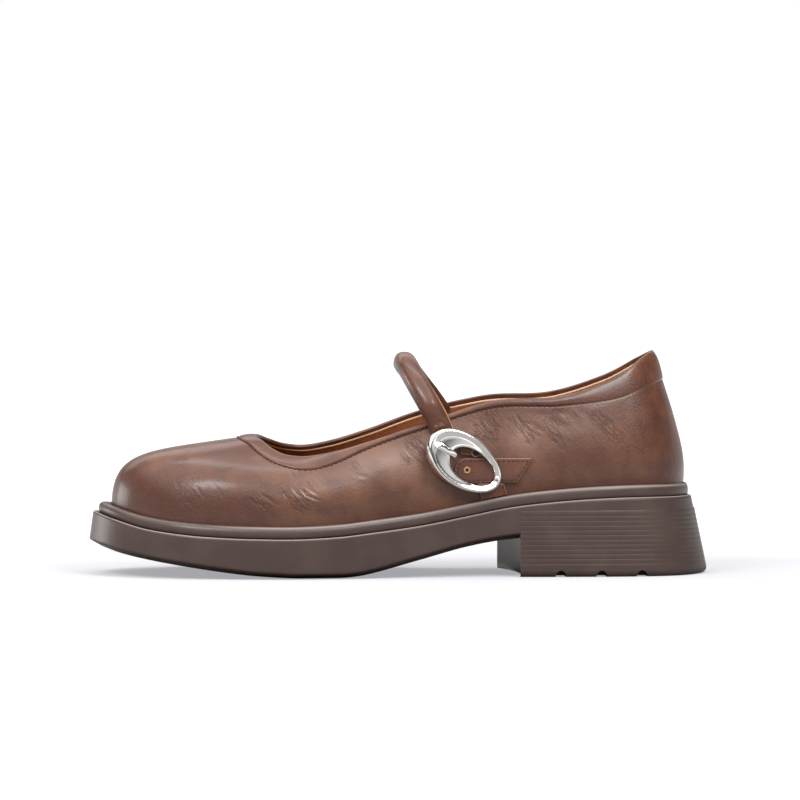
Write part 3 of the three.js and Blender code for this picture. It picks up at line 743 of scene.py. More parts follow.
class Finish:
    """A material that is built from expressions."""

    def __init__(self, name: str) -> None:
        """Starts a material with a plain surface shader.

        Args:
            name: Its name.
        """
        self.material = bpy.data.materials.new(name)
        self.material.use_nodes = True
        self.tree = self.material.node_tree
        self.shader = self.tree.nodes["Principled BSDF"]
        self.place = self.node("ShaderNodeTexCoord", output="Object")

    def node(
        self, kind: str, settings: dict | None = None, values: dict | None = None, output: int | str = 0
    ) -> Term:
        """Adds a node.

        Args:
            kind: Its type.
            settings: Its properties, which are set first.
            values: Numbers, colours or terms for its sockets.
            output: The socket that is used.

        Returns:
            That socket as a term.
        """
        made = self.tree.nodes.new(kind)
        for key, value in (settings or {}).items():
            setattr(made, key, value)
        for key, value in (values or {}).items():
            if isinstance(value, Term):
                self.tree.links.new(value.socket, made.inputs[key])
            else:
                made.inputs[key].default_value = value
        return Term(self, made.outputs[output])

    def noise(
        self, scale: float, detail: float = 2, stretch: tuple | None = None, turn: tuple = (0, 0, 0)
    ) -> Term:
        """Noise on the shoe's own coordinates, which may be turned and then stretched.

        Args:
            scale: Scale of the noise.
            detail: How many finer layers it has.
            stretch: Factors along the turned axes.
            turn: Turn in radians.

        Returns:
            The noise, from 0 to 1.
        """
        place = self.place
        if stretch:
            turned = self.node("ShaderNodeMapping", None, {"Vector": place, "Rotation": turn})
            place = self.node("ShaderNodeVectorMath", {"operation": "MULTIPLY"}, {0: turned, 1: stretch})
        return self.node("ShaderNodeTexNoise", None, {"Vector": place, "Scale": scale, "Detail": detail})

    def shade(self, name: str) -> Term:
        """A number that is kept on the mesh."""
        return self.node("ShaderNodeAttribute", {"attribute_name": name}, output="Fac")

    def mix(self, factor: Term, low: "Term | tuple", high: "Term | tuple") -> Term:
        """A colour between two others."""
        settings = {"data_type": "RGBA"}
        return self.node("ShaderNodeMix", settings, {0: factor, 6: low, 7: high}, output=2)

    def relief(self, height: Term, depth: float, strength: float = 1.0) -> None:
        """Gives the surface a relief of that depth in millimetres."""
        values = {"Height": height, "Distance": depth * MM, "Strength": strength}
        self.feed("Normal", self.node("ShaderNodeBump", None, values))

    def feed(self, socket: str, value: "Term | float | tuple") -> None:
        """Sets or links a socket of the shader.

        Args:
            socket: Name of the socket.
            value: A number, a colour or a term.
        """
        if isinstance(value, Term):
            self.tree.links.new(value.socket, self.shader.inputs[socket])
        else:
            self.shader.inputs[socket].default_value = value


@dataclass(frozen=True)
class AgedLeather:
    """Brown leather that is worn lighter and redder in clouds, under a thin wax. Its colour also holds a
    painted sheen high up the sides, and painted shade towards the sole and in its fine wrinkles.
    """

    brown: tuple = colour(82, 46, 32)
    russet: tuple = colour(104, 64, 41)
    dark: tuple = colour(64, 37, 29)
    seam: tuple = colour(52, 28, 23)
    edge: tuple = colour(150, 106, 82)
    # Painted sheen: a lighter, greyer brown for high up the sides.
    painted_sheen: tuple = colour(128, 98, 85)
    run: tuple = (0, 0.69, 0)

    def wrinkles(self, finish: "Finish") -> tuple[Term, Term]:
        """Fine wrinkles that run down and back, drawn in relief and as painted shade.

        Args:
            finish: The finish they are for.

        Returns:
            The lines, and where they show.
        """
        place = finish.place
        turned = finish.node("ShaderNodeMapping", None, {"Vector": place, "Rotation": self.run})
        wander = finish.node("ShaderNodeTexNoise", None, {"Vector": place, "Scale": 420, "Detail": 2}, 1)
        shift = finish.node("ShaderNodeVectorMath", {"operation": "SCALE"}, {0: wander, "Scale": 0.0014})
        moved = finish.node("ShaderNodeVectorMath", {"operation": "ADD"}, {0: turned, 1: shift})
        drawn = finish.node("ShaderNodeVectorMath", {"operation": "MULTIPLY"}, {0: moved, 1: (1, 1, 0.15)})
        cells = {"feature": "DISTANCE_TO_EDGE"}
        net = finish.node("ShaderNodeTexVoronoi", cells, {"Vector": drawn, "Scale": 640})
        kept = finish.noise(130, 3, (1, 1, 0.5), self.run).band(0.42, 0.62) * finish.shade("wrinkle")
        return 1 - net.band(0.0, 0.2), kept.band(0.05, 0.6)

    def dress(self) -> bpy.types.Material:
        """Builds the material.

        Returns:
            The material.
        """
        finish = Finish("aged_leather")
        clouds = finish.noise(34, 3)
        patches = finish.noise(120, 4)
        pores = finish.noise(1500, 3)
        base = finish.mix((clouds * 0.6 + patches * 0.4).band(0.42, 0.66), self.brown, self.russet)
        base = finish.mix((1 - patches).band(0.5, 0.75) * 0.5, base, self.dark)
        base = finish.mix((1 - pores).band(0.48, 0.7) * 0.3, base, self.dark)
        # Painted shade: the colour darkens towards the sole.
        base = finish.mix(finish.shade("low") * 0.55, base, self.dark)
        # Painted sheen: lighter and greyer high up the leather's outer face, broken up by the clouds.
        base = finish.mix(finish.shade("painted_sheen") * (0.35 + 0.6 * clouds.band(0.42, 0.62)), base, self.painted_sheen)
        base = finish.mix(finish.shade("edge"), base, self.edge)
        base = finish.mix(finish.shade("seam") * 0.25, base, self.seam)
        finish.feed("Roughness", 0.36 + 0.14 * patches + 0.1 * pores)
        finish.feed("Specular IOR Level", 0.3)
        finish.feed("Coat Weight", 0.25 + 0.3 * clouds)
        finish.feed("Coat Roughness", 0.2)
        lines, kept = self.wrinkles(finish)
        # Painted shade: the fine wrinkle lines darken the colour.
        base = finish.mix(lines * kept * 0.6, base, self.dark)
        finish.feed("Base Color", base)
        cells = {"Vector": finish.place, "Scale": 950}
        pebble = finish.node("ShaderNodeTexVoronoi", {"feature": "SMOOTH_F1"}, cells)
        finish.relief(pores * 0.12 + pebble * 0.4 + patches * 0.35 - lines * kept * 0.6, 0.3)
        return finish.material


@dataclass(frozen=True)
class SoleRubber:
    """Taupe moulded rubber with a satin skin, and a painted highlight where the mesh marks it."""

    taupe: tuple = colour(74, 59, 54)
    dull: tuple = colour(66, 52, 48)
    # Painted highlight: the light line on the bead's shoulder and on the lip's edge.
    painted_highlight: tuple = colour(168, 154, 146)

    def dress(self) -> bpy.types.Material:
        """Builds the material.

        Returns:
            The material.
        """
        finish = Finish("sole_rubber")
        clouds = finish.noise(60, 3)
        grain = finish.noise(2200, 2)
        base = finish.mix(clouds.band(0.35, 0.7), self.dull, self.taupe)
        # Painted highlight where the mesh marks it.
        finish.feed("Base Color", finish.mix(finish.shade("painted_highlight"), base, self.painted_highlight))
        finish.feed("Roughness", 0.3 + 0.06 * clouds + 0.06 * grain)
        finish.feed("Specular IOR Level", 0.4)
        finish.relief(clouds * 0.2 + grain * 0.15, 0.12)
        return finish.material


@dataclass(frozen=True)
class TanLining:
    """Tan lining leather with a light cut edge."""

    tan: tuple = colour(150, 88, 46)
    deep: tuple = colour(112, 62, 32)
    edge: tuple = colour(226, 186, 150)

    def dress(self) -> bpy.types.Material:
        """Builds the material.

        Returns:
            The material.
        """
        finish = Finish("tan_lining")
        clouds = finish.noise(90, 3)
        grain = finish.noise(1700, 3)
        base = finish.mix((clouds * 0.5 + grain * 0.5).band(0.38, 0.64), self.deep, self.tan)
        finish.feed("Base Color", finish.mix(finish.shade("edge"), base, self.edge))
        finish.feed("Roughness", 0.55 + 0.2 * grain)
        finish.relief(grain, 0.12)
        return finish.material


@dataclass(frozen=True)
class PolishedMetal:
    """Bright plated metal with faint rubbing."""

    silver: tuple = (0.95, 0.94, 0.92, 1)
    worn: tuple = (0.82, 0.81, 0.79, 1)

    def dress(self) -> bpy.types.Material:
        """Builds the material.

        Returns:
            The material.
        """
        finish = Finish("polished_metal")
        rub = finish.noise(260, 3)
        scratches = finish.noise(900, 2, (0.06, 1, 1), (0, 0.69, 0))
        finish.feed("Base Color", finish.mix(rub.band(0.5, 0.8), self.silver, self.worn))
        finish.feed("Metallic", 1.0)
        finish.feed("Roughness", 0.07 + 0.06 * rub + 0.03 * scratches)
        finish.relief(scratches, 0.01)
        return finish.material


@dataclass(frozen=True)
class Thread:
    """Sewing thread of one colour with a twist."""

    name: str
    light: tuple
    dark: tuple

    def dress(self) -> bpy.types.Material:
        """Builds the material.

        Returns:
            The material.
        """
        finish = Finish(self.name)
        twist = finish.noise(4000, 1)
        finish.feed("Base Color", finish.mix(twist.band(0.35, 0.65), self.dark, self.light))
        finish.feed("Roughness", 0.6 + 0.2 * twist)
        finish.relief(twist, 0.08)
        return finish.material


@dataclass(frozen=True)
class Insole:
    """Tan insole leather, darker where the foot rests."""

    tan: tuple = colour(158, 98, 54)
    worn: tuple = colour(112, 66, 36)

    def dress(self) -> bpy.types.Material:
        """Builds the material.

        Returns:
            The material.
        """
        finish = Finish("insole_leather")
        clouds = finish.noise(30, 3)
        grain = finish.noise(1300, 3)
        pressed = (clouds * 0.7 + grain * 0.3).band(0.4, 0.65)
        finish.feed("Base Color", finish.mix(pressed, self.worn, self.tan))
        finish.feed("Roughness", 0.5 + 0.2 * grain)
        finish.relief(grain * 0.6 + clouds, 0.15)
        return finish.material


class Wardrobe:
    """All finishes, made once."""

    def __init__(self) -> None:
        """Makes each material."""
        self.leather = AgedLeather().dress()
        self.rubber = SoleRubber().dress()
        self.lining = TanLining().dress()
        self.metal = PolishedMetal().dress()
        self.insole = Insole().dress()
        self.thread = Thread("dark_thread", colour(82, 34, 30), colour(54, 22, 19)).dress()
        self.edge = Thread("raw_edge", colour(196, 150, 112), colour(140, 92, 62)).dress()
        # Near-black painted shade for the insides of holes and the gap beside the buckle's pin.
        self.hole = Thread("torn_hole_shade", colour(26, 20, 20), colour(8, 7, 8)).dress()


def finish_piece(
    piece: bpy.types.Object, material: bpy.types.Material, stands_for: Sequence[str] = ()
) -> None:
    """Gives a piece its finish and fixes it to the shoe.

    Args:
        piece: The piece.
        material: Its finish.
        stands_for: CAD nodes that it takes the place of.
    """
    piece.data.materials.clear()
    piece.data.materials.append(material)
    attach(piece, "root")
    if stands_for:
        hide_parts(*stands_for)
    triangles = sum(len(face.vertices) - 2 for face in piece.data.polygons)
    LOG.info("%s: %d triangles", piece.name, triangles)


# Creases as seen from the outer side: points along and up in the frame, then half width and depth.
CREASES = [
    ([(-48, 46.5), (-45.5, 41), (-41, 35.4), (-34.7, 32.9)], 0.5, 0.2),
    ([(-50, 43.5), (-45.5, 36.5), (-40.6, 32.6)], 0.5, 0.14),
    ([(-45, 45), (-40.5, 38.5), (-36, 35.5)], 0.5, 0.12),
    ([(-51, 37), (-46.5, 31)], 0.65, 0.16),
    ([(-60, 36), (-53, 31)], 0.8, 0.18),
    ([(-65, 34), (-58, 29)], 0.9, 0.14),
    ([(-24.4, 48.1), (-20, 44.2), (-15, 43)], 0.8, 0.14),
    ([(3, 57.5), (9.4, 51.5)], 0.5, 0.13),
    ([(0.5, 55.5), (6.5, 49.5)], 0.5, 0.11),
    ([(6, 59), (11.5, 54)], 0.5, 0.12),
    ([(-97, 42), (-94.7, 37.8)], 0.6, 0.1),
    ([(-88, 39.5), (-84.6, 34.2)], 0.6, 0.12),
    ([(-79.2, 40), (-76.4, 34)], 0.6, 0.12),
    ([(-82, 46), (-75, 43.2)], 0.9, 0.1),
    ([(31.8, 68.3), (36.2, 63.1), (41.5, 57.4)], 0.6, 0.22),
    ([(34, 68.7), (38.4, 64.2), (42.6, 59)], 0.6, 0.2),
    ([(29.8, 66.8), (34, 61.6), (38.8, 56.6)], 0.6, 0.18),
    ([(46.9, 67.6), (50.7, 61.8), (55, 55.4)], 0.65, 0.26),
    ([(49.6, 68.4), (53.2, 63.1), (56.6, 57.8)], 0.6, 0.2),
    ([(54.4, 66.3), (61.5, 61.8)], 0.8, 0.12),
    ([(59, 71.2), (66, 66), (73.5, 61.8)], 2.4, 0.12),
    ([(64, 73.2), (71, 69.5), (78.5, 62.8)], 2.5, 0.12),
    ([(72.5, 75), (78, 70.5), (83.5, 66)], 2.5, 0.08),
    ([(57, 64), (64, 58.5), (72, 56)], 2.6, 0.1),
]

# Places where the leather is finely wrinkled: along, up, radius, strength.
WRINKLED = [
    (-44, 38, 10, 1.0),
    (-58, 34, 8, 0.6),
    (-20, 46, 6, 0.5),
    (6, 54, 8, 0.9),
    (-86, 38, 12, 0.5),
    (36, 63, 8, 1.0),
    (52, 62, 8, 1.0),
    (66, 66, 13, 0.9),
    (86, 62, 12, 0.7),
    (-78, 44, 8, 0.4),
]


@dataclass(frozen=True)
class Upper:
    """The leather upper with its collar band, and the lining inside it."""

    fine_columns: int = 470
    plain_columns: int = 250
    leather_thick: float = 1.6
    puff: float = 0.8
    seam_width: float = 0.38
    seam_depth: float = 0.22
    fold: float = 1.7
    tip_lean: float = 1.1
    stitch_pitch: float = 2.3
    stitch_size: tuple[float, float, float] = (1.5, 0.86, 0.8)
    stitched_up_to: float = 69
    back_from: float = 108
    seam_rows: tuple = (1.0, 0.75, 0.55, 0.4, 0.28, 0.17, 0.08, 0.0, -0.08, -0.17, -0.28, -0.42)
    wall_rows: int = 79
    wave: float = 0.07

    def places(self) -> Points:
        """Places of the columns round the shoe, closer together on the outer side.

        Returns:
            A row of places.
        """
        fine = np.linspace(1, 12, self.fine_columns + 1)[:-1]
        plain = np.linspace(12, 25, self.plain_columns + 1)
        return np.concatenate([fine, plain])[None, :]

    def near_line(self, x: Points, z: Points, line: Sequence[tuple[float, float]]) -> tuple[Points, Points]:
        """Distance from a crease.

        Args:
            x: Along, of each point of the leather.
            z: Up, of each point.
            line: Points of the crease.

        Returns:
            Distances, and shares of the way along the crease.
        """
        best, where = np.full(x.shape, 1e9), np.zeros(x.shape)
        for i, ((x0, z0), (x1, z1)) in enumerate(zip(line, line[1:])):
            run_x, run_z = x1 - x0, z1 - z0
            t = np.clip(((x - x0) * run_x + (z - z0) * run_z) / (run_x**2 + run_z**2), 0, 1)
            far = np.hypot(x - x0 - t * run_x, z - z0 - t * run_z)
            where = np.where(far < best, (i + t) / (len(line) - 1), where)
            best = np.minimum(best, far)
        return best, where

    def crumple(self, points: Points) -> tuple[Points, Points]:
        """Depth of the creases, and where the leather is wrinkled.

        Args:
            points: Points of the outer face.

        Returns:
            Offsets along the normal, and shares of wrinkling.
        """
        x, y, z = (points[..., k] + LAST.origin[k] for k in range(3))
        offset, wrinkle = np.zeros(x.shape), np.zeros(x.shape)
        inner = y > 0
        seen = np.where(inner, x - 3.5, x)
        for line, width, depth in CREASES:
            far, where = self.near_line(seen, z, line)
            ends = np.sqrt(np.clip(4 * where * (1 - where), 0, 1)) * 0.75 + 0.25 * bump(far, width)
            depth = depth * np.where(inner, 0.7, 1)
            width = np.where(inner, np.maximum(1.3 * width, 1.3), width)
            offset -= depth * ends * bump(far, width)
            offset += 0.4 * depth * ends * bump(far - 1.8 * width, width)
        for middle, up, radius, strength in WRINKLED:
            wrinkle = np.maximum(wrinkle, strength * bump(np.hypot(seen - middle, z - up), radius))
        soft = np.sin(x / 8.1 + z / 5.3) * np.sin(z / 7.7 - x / 13.0) + 0.6 * np.sin(x / 4.4 - z / 6.1 + 1.0)
        offset += self.wave * soft
        return offset, wrinkle

    def leather(self) -> bpy.types.Object:
        """Builds the leather as one closed wall, folded over at the topline.

        Returns:
            The piece.
        """
        place = self.places()
        depth = LAST.band_depth(place)
        along = LAST.topline(place)[..., 0]
        back = np.clip((along - self.back_from) / 10, 0, 1)
        sewn = 1 - 0.6 * np.clip((along - self.stitched_up_to) / 12, 0, 1) + 0.9 * back
        puff = self.puff * (1 - 0.55 * np.clip((along - self.stitched_up_to) / 16, 0, 1) + 1.6 * back)
        rows: list[tuple[Points, Points, Points]] = []
        foot = LAST.below_top(place, depth + 1.0)
        for share in np.linspace(0, 1, self.wall_rows + 1)[:-1]:
            rows.append((foot * share, 0 * place, 0 * place))
        for distance in self.seam_rows:
            dome = puff * np.sqrt(np.clip(4 * -distance / depth * (1 + distance / depth), 0, 1))
            groove = -self.seam_depth * sewn * bump(np.full(place.shape, distance), self.seam_width)
            rows.append((LAST.below_top(place, depth + distance), dome + groove, 0 * place))
        for share in np.linspace(0, 1, 15)[1:-1] ** 1.15:
            down = (depth + self.seam_rows[-1]) * (1 - share)
            dome = puff * np.sqrt(np.clip(4 * (down / depth) * (1 - down / depth), 0, 1))
            leaned = dome - self.tip_lean * back * bump(down, 2.4)
            rows.append((LAST.below_top(place, down), leaned, 0 * place))
        half = self.leather_thick / 2
        for angle in np.linspace(0, np.pi, 9):
            over = half * 0.55 * np.sin(angle) + 0 * place
            rows.append((1 + 0 * place, half * (np.cos(angle) - 1) - self.tip_lean * back, over))
        for down in (0.4, 1.0, self.fold, 2.6, 4.0):
            rows.append((LAST.below_top(place, down + 0 * place), -self.leather_thick + 0 * place, 0 * place))
        start = LAST.below_top(place, 4.0)
        for share in np.linspace(1, 0, 14)[1:]:
            rows.append((start * share, -self.leather_thick + 0 * place, 0 * place))
        v, off, over = (np.concatenate([row[k] for row in rows]) for k in range(3))
        places = np.broadcast_to(place, v.shape)
        base = LAST.surface(places, v)
        creased, wrinkle = self.crumple(base)
        seam_end = self.wall_rows + len(self.seam_rows)
        outside = np.zeros(v.shape)
        outside[:seam_end] = 1
        fade = np.clip(v / 0.08, 0, 1)
        below = np.clip((foot - v) / 0.05, 0, 1)
        off = off + creased * outside * fade * below
        points = LAST.off(places, v, off) + LAST.climb(places, v) * over[..., None]
        points = np.concatenate([points, points[:1]])
        seam_row = np.zeros(v.shape)
        for k, distance in enumerate(self.seam_rows):
            seam_row[self.wall_rows + k] = bump(np.array(distance), 0.24) * (sewn[0] - 0.25)
        x = base[..., 0]
        # Mask of the painted sheen: a band high up the leather's outer face, between the toe and the heel.
        below_seam = np.arange(len(v)) < self.wall_rows + 5
        high = bump(v - 0.66, 0.2) * below_seam[:, None] * outside
        painted_sheen = high * np.clip((x + 48) / 30, 0, 1) * np.clip((96 - x) / 30, 0, 1)
        # Mask of the painted shade towards the sole.
        low = np.clip(1 - v / 0.4, 0, 1) ** 0.7 * outside
        shades = {
            "painted_sheen": np.concatenate([painted_sheen, painted_sheen[:1]]),
            "low": np.concatenate([low, low[:1]]),
            "wrinkle": np.concatenate([wrinkle * outside, (wrinkle * outside)[:1]]),
            "seam": np.concatenate([seam_row, seam_row[:1]]),
        }
        piece = lay_grid("upper_leather", points, shades)
        smooth(piece, 60)
        return piece

    def lining(self) -> bpy.types.Object:
        """Builds the lining, with its cut edge below the fold of the leather.

        Returns:
            The piece.
        """
        place = self.places()[:, ::2]
        front, back = -self.leather_thick - 0.02, -LAST.wall
        rows = [(down, back, 0.0) for down in (9.0, 6.0, 4.0, 2.9)]
        rows += [(2.45, back, 0.0), (2.2, back, 1.0), (1.85, back, 1.0), (1.72, back + 0.06, 1.0)]
        rows += [(1.68, (front + back) / 2, 1.0), (1.72, front - 0.06, 1.0)]
        rows += [(2.2, front, 0.0), (9.0, front, 0.0)]
        start = LAST.below_top(place, 9.0 + 0 * place)
        inside = [start * share for share in np.linspace(0.02, 1, 16)[:-1]]
        v = [*inside, *(LAST.below_top(place, down + 0 * place) for down, _, _ in rows), *reversed(inside)]
        off = [*(back for _ in inside), *(off for _, off, _ in rows), *(front for _ in inside)]
        edge = [*(0.0 for _ in inside), *(edge for _, _, edge in rows), *(0.0 for _ in inside)]
        v = np.concatenate(v)
        off = np.array(off)[:, None] + 0 * v
        points = LAST.off(np.broadcast_to(place, v.shape), v, off)
        shade = np.array(edge)[:, None] + 0 * v
        piece = lay_grid(
            "lining",
            np.concatenate([points, points[:1]]),
            {"edge": np.concatenate([shade, shade[:1]])},
        )
        smooth(piece, 60)
        return piece

    def stitches(self) -> bpy.types.Object:
        """Builds the stitches under the collar band, from the throat back along both sides.

        Returns:
            The piece.
        """
        place = np.linspace(-9.6, 9.2, 2400)
        line = LAST.off(place, LAST.below_top(place, LAST.band_depth(place) + 0.15), 0.08 + 0 * place)
        kept = line[:, 0] < self.stitched_up_to
        outs = LAST.normal(place, LAST.below_top(place, LAST.band_depth(place)))
        return sew("collar_stitches", line[kept], outs[kept], self.stitch_pitch, self.stitch_size)

    def build(self, wardrobe: Wardrobe) -> None:
        """Builds and dresses the upper.

        Args:
            wardrobe: The finishes.
        """
        finish_piece(self.leather(), wardrobe.leather, ["upper"])
        finish_piece(self.lining(), wardrobe.lining)
        finish_piece(self.stitches(), wardrobe.thread)


@dataclass(frozen=True)
class Sole:
    """The moulded sole: welt bead, body with its lip, ribbed heel block, and the insole on top."""

    columns: int = 480
    edge_round: float = 0.8
    bevel_width: float = 9
    bevel_rise: float = 2
    welt_share: float = 0.7
    heel_top: float = 28.4
    heel_proud: float = 0.4
    heel_round: float = 3
    breast_x: float = 51.2
    breast_hollow: float = 4
    breast_skew: float = 5.4
    rib_count: int = 12
    rib_start: float = 4
    rib_depth: float = 0.06
    rib_profile: tuple = (
        (0.0, 0.5),
        (0.05, 0.16),
        (0.12, 0.0),
        (0.58, 0.0),
        (0.65, 0.16),
        (0.7, 0.5),
        (0.76, 0.9),
        (0.85, 1.0),
        (0.94, 0.9),
    )
    notch_first: float = 68.6
    notch_pitch: float = 17.5
    notch_count: int = 3
    notch_foot: float = 4.6
    notch_depth: float = 2.8
    notch_middle: float = 40
    notch_reach: float = 30
    insole_thick: float = 5
    insole_ends: tuple[float, float] = (0.35, 11.65)
    insole_hollow: float = 1.2
    tread_first: float = -70
    tread_pitch: float = 11
    tread_count: int = 5
    tread_size: tuple[float, float, float] = (3, 60, 3)
    bead: tuple = (
        (0.9, -0.02),
        (0.93, 0.0),
        (1.0, 0.22),
        (0.98, 0.5),
        (0.84, 0.78),
        (0.52, 0.97),
        (0.2, 1.0),
        (0.02, 0.96),
    )

    def places(self) -> Points:
        """Places of the columns round the sole."""
        return np.linspace(0, len(OUTLINE.rows), self.columns + 1)

    def inwards(self, ring: Points) -> list[Points]:
        """Rings that draw a ring together on the middle line."""
        middle = (ring + ring[::-1]) / 2
        return [lerp(middle, ring, share) for share in (0.0, 0.33, 0.66)]

    def capped(self, rings: list[Points]) -> Points:
        """Closes both ends of a stack of rings across their width, for surfaces that curve along the shoe.

        Args:
            rings: Rings from the underside to the top.

        Returns:
            Rows of points with the ends drawn together on the middle line.
        """
        return np.stack([*self.inwards(rings[0]), *rings, *reversed(self.inwards(rings[-1]))])

    def bead_ring(self, out: float, up: float) -> Points:
        """A ring of the bead.

        Args:
            out: Share of the way from the leather to the outer edge.
            up: Share of the bead's height.

        Returns:
            Points of the ring.
        """
        place = self.places()
        rise = (LAST.welt_height - LAST.gap) * max(up, 0)
        side = LAST.at_height(place, rise, LAST.gap)
        far = LAST.offset(place, LAST.lip_reach * OUTLINE.closed("lip", place) * self.welt_share)
        ring = lerp(side, far, out)
        ring[..., 2] = LAST.ledge(ring[..., 0]) + LAST.gap + rise
        return ring

    def welt(self) -> bpy.types.Object:
        """Builds the round bead between the sole and the leather, with a painted highlight along its
        shoulder.

        Returns:
            The piece.
        """
        section = through(np.array(self.bead), 25)
        rings = [self.bead_ring(out, up) for out, up in section]
        rings += [self.bead_ring(0.0, up) for up in (0.8, 0.5, 0.2, 0.0)]
        # Painted highlight along the upper shoulder of the bead, fainter towards the toe.
        painted_highlight = np.zeros(len(rings) + 1)
        outer = section[:, 0] > 0.3
        painted_highlight[: len(section)] = 0.5 * bump(section[:, 1] - 0.88, 0.09) * outer
        along = np.clip((rings[0][:, 0] + 88) / 30, 0.15, 1)
        shades = {"painted_highlight": painted_highlight[:, None] * along[None, :]}
        piece = lay_grid("welt_bead", np.stack([*rings, rings[0]]), shades)
        smooth(piece, 70)
        return piece

    def under_ring(self, extra: float, rise: float) -> Points:
        """A ring of the underside.

        Args:
            extra: How far out beyond the side.
            rise: Height above the underside.

        Returns:
            Points of the ring.
        """
        place = self.places()
        x = LAST.plan(place)[..., 0]
        ring = LAST.sole_side(place, LAST.underside(x) + rise, extra)
        ring[..., 2] = LAST.underside(ring[..., 0]) + rise
        return ring

    def side_ring(self, share: float) -> Points:
        """A ring of the side.

        Args:
            share: Share of the way up from the bevel to the lip.

        Returns:
            Points of the ring.
        """
        place = self.places()
        x = LAST.plan(place)[..., 0]
        low = LAST.underside(x) + self.bevel_rise + 1
        ring = LAST.sole_side(place, lerp(low, LAST.ledge(x) - self.edge_round, share), 0)
        low = LAST.underside(ring[..., 0]) + self.bevel_rise + 1
        ring[..., 2] = lerp(low, LAST.ledge(ring[..., 0]) - self.edge_round, share)
        return ring

    def lip_ring(self, extra: float, drop: float) -> Points:
        """A ring of the lip's rounded edge.

        Args:
            extra: How far out beyond the side.
            drop: Depth below the ledge.

        Returns:
            Points of the ring.
        """
        place = self.places()
        ring = LAST.sole_side(place, LAST.ledge(LAST.plan(place)[..., 0]), extra)
        ring[..., 2] = LAST.ledge(ring[..., 0]) - drop
        return ring

    def shelf_ring(self, distance: float) -> Points:
        """A ring of the ledge.

        Args:
            distance: Distance outwards from the leather's foot.

        Returns:
            Points of the ring.
        """
        ring = LAST.offset(self.places(), distance)
        ring[..., 2] = LAST.ledge(ring[..., 0])
        return ring

    def body(self) -> bpy.types.Object:
        """Builds the sole from its tread to the ledge, with a painted highlight along its lip.

        Returns:
            The piece.
        """
        rings = [self.under_ring(-self.bevel_width, 0)]
        rings += [self.under_ring(-self.bevel_width / 2, self.bevel_rise * 0.42)]
        turns = np.linspace(0, math.pi / 2, 6)
        rings += [self.under_ring(-1 + math.sin(a), self.bevel_rise + 1 - math.cos(a)) for a in turns]
        rings += [self.side_ring(share) for share in np.linspace(0, 1, 15)[1:]]
        r = self.edge_round
        rings += [self.lip_ring(-r * (1 - math.cos(a)), r * (1 - math.sin(a))) for a in turns[1:]]
        rings += [self.shelf_ring(0), self.shelf_ring(-LAST.wall - LAST.gap)]
        rows = self.capped(rings)
        # Painted highlight on the rounded edge of the lip.
        painted_highlight = np.zeros(rows.shape[:2])
        painted_highlight[-9:-6] = np.array([0.25, 0.7, 0.45])[:, None]
        piece = lay_grid("sole_body", rows, {"painted_highlight": painted_highlight})
        smooth(piece, 50)
        return piece

    def tread(self) -> bpy.types.Object:
        """Builds the cutter of the grooves under the ball.

        Returns:
            The piece.
        """
        made = []
        for i in range(self.tread_count):
            deselect()
            bpy.ops.mesh.primitive_cube_add(size=1, location=(0, 0, 0))
            made.append(bpy.context.object)
            middle = LAST.in_frame(np.array([self.tread_first + i * self.tread_pitch, 0, 0.0]))
            size = Matrix.Diagonal((*(length * MM for length in self.tread_size), 1))
            made[-1].data.transform(size)
            made[-1].data.transform(Matrix.Translation(Vector(middle)))
        return join(made)

    def heel_ring(self, arc: Points, z: float, extra: float) -> Points:
        """A ring of the heel block, closed across its hollow front.

        Args:
            arc: Places of its side.
            z: Height above the floor.
            extra: How far out beyond the side.

        Returns:
            Points of the ring.
        """
        breast = np.linspace(1, 0, 25)[1:-1]
        side = LAST.sole_side(arc, np.full(arc.shape, z), self.heel_proud + extra)
        side[0, 0], side[-1, 0] = self.breast_x, self.breast_x - self.breast_skew
        front = side[0] + (side[-1] - side[0]) * breast[:, None]
        front[:, 0] += self.breast_hollow * 4 * breast * (1 - breast)
        return np.vstack([side, front, side[:1]])

    def heel(self) -> bpy.types.Object:
        """Builds the ribbed heel block with its hollow front and its three notches.

        Returns:
            The piece.
        """
        outer = self.crossing(7.0, 10.0, self.breast_x)
        inner = self.crossing(14.0, 17.0, self.breast_x - self.breast_skew)
        arc = np.linspace(outer, inner, 301)
        rings = []
        for angle in np.linspace(0, math.pi / 2, 8):
            up, out = self.heel_round * (1 - math.cos(angle)), self.heel_round * (math.sin(angle) - 1)
            rings.append(self.heel_ring(arc, up, out))
        pitch = (self.heel_top - self.rib_start) / self.rib_count
        for i in range(self.rib_count):
            foot = self.rib_start + i * pitch
            for share, dip in self.rib_profile:
                rings.append(self.heel_ring(arc, foot + pitch * share, -self.rib_depth * dip))
        rings.append(self.heel_ring(arc, self.heel_top - 0.3, 0))
        rings.append(self.heel_ring(arc, self.heel_top, -0.3))
        rows = np.stack(rings)
        low, high = (0 * end + end.mean(axis=1, keepdims=True) for end in (rows[:1], rows[-1:]))
        piece = lay_grid("heel_block", np.concatenate([low, rows, high]))
        edit_all(piece, lambda: bpy.ops.mesh.normals_make_consistent(inside=False))
        cut(piece, self.notches())
        smooth(piece, 48)
        return piece

    def crossing(self, low: float, high: float, x: float) -> float:
        """Place between two others where the side of the heel block has that x.

        Args:
            low: First place.
            high: Second place.
            x: Along the shoe.

        Returns:
            The place.
        """
        for _ in range(40):
            middle = (low + high) / 2
            here = float(LAST.sole_side(np.array([middle]), np.array([10.0]), self.heel_proud)[0, 0])
            rising = float(LAST.plan(np.array([high]))[0, 0]) > float(LAST.plan(np.array([low]))[0, 0])
            if (here < x) == rising:
                low = middle
            else:
                high = middle
        return middle

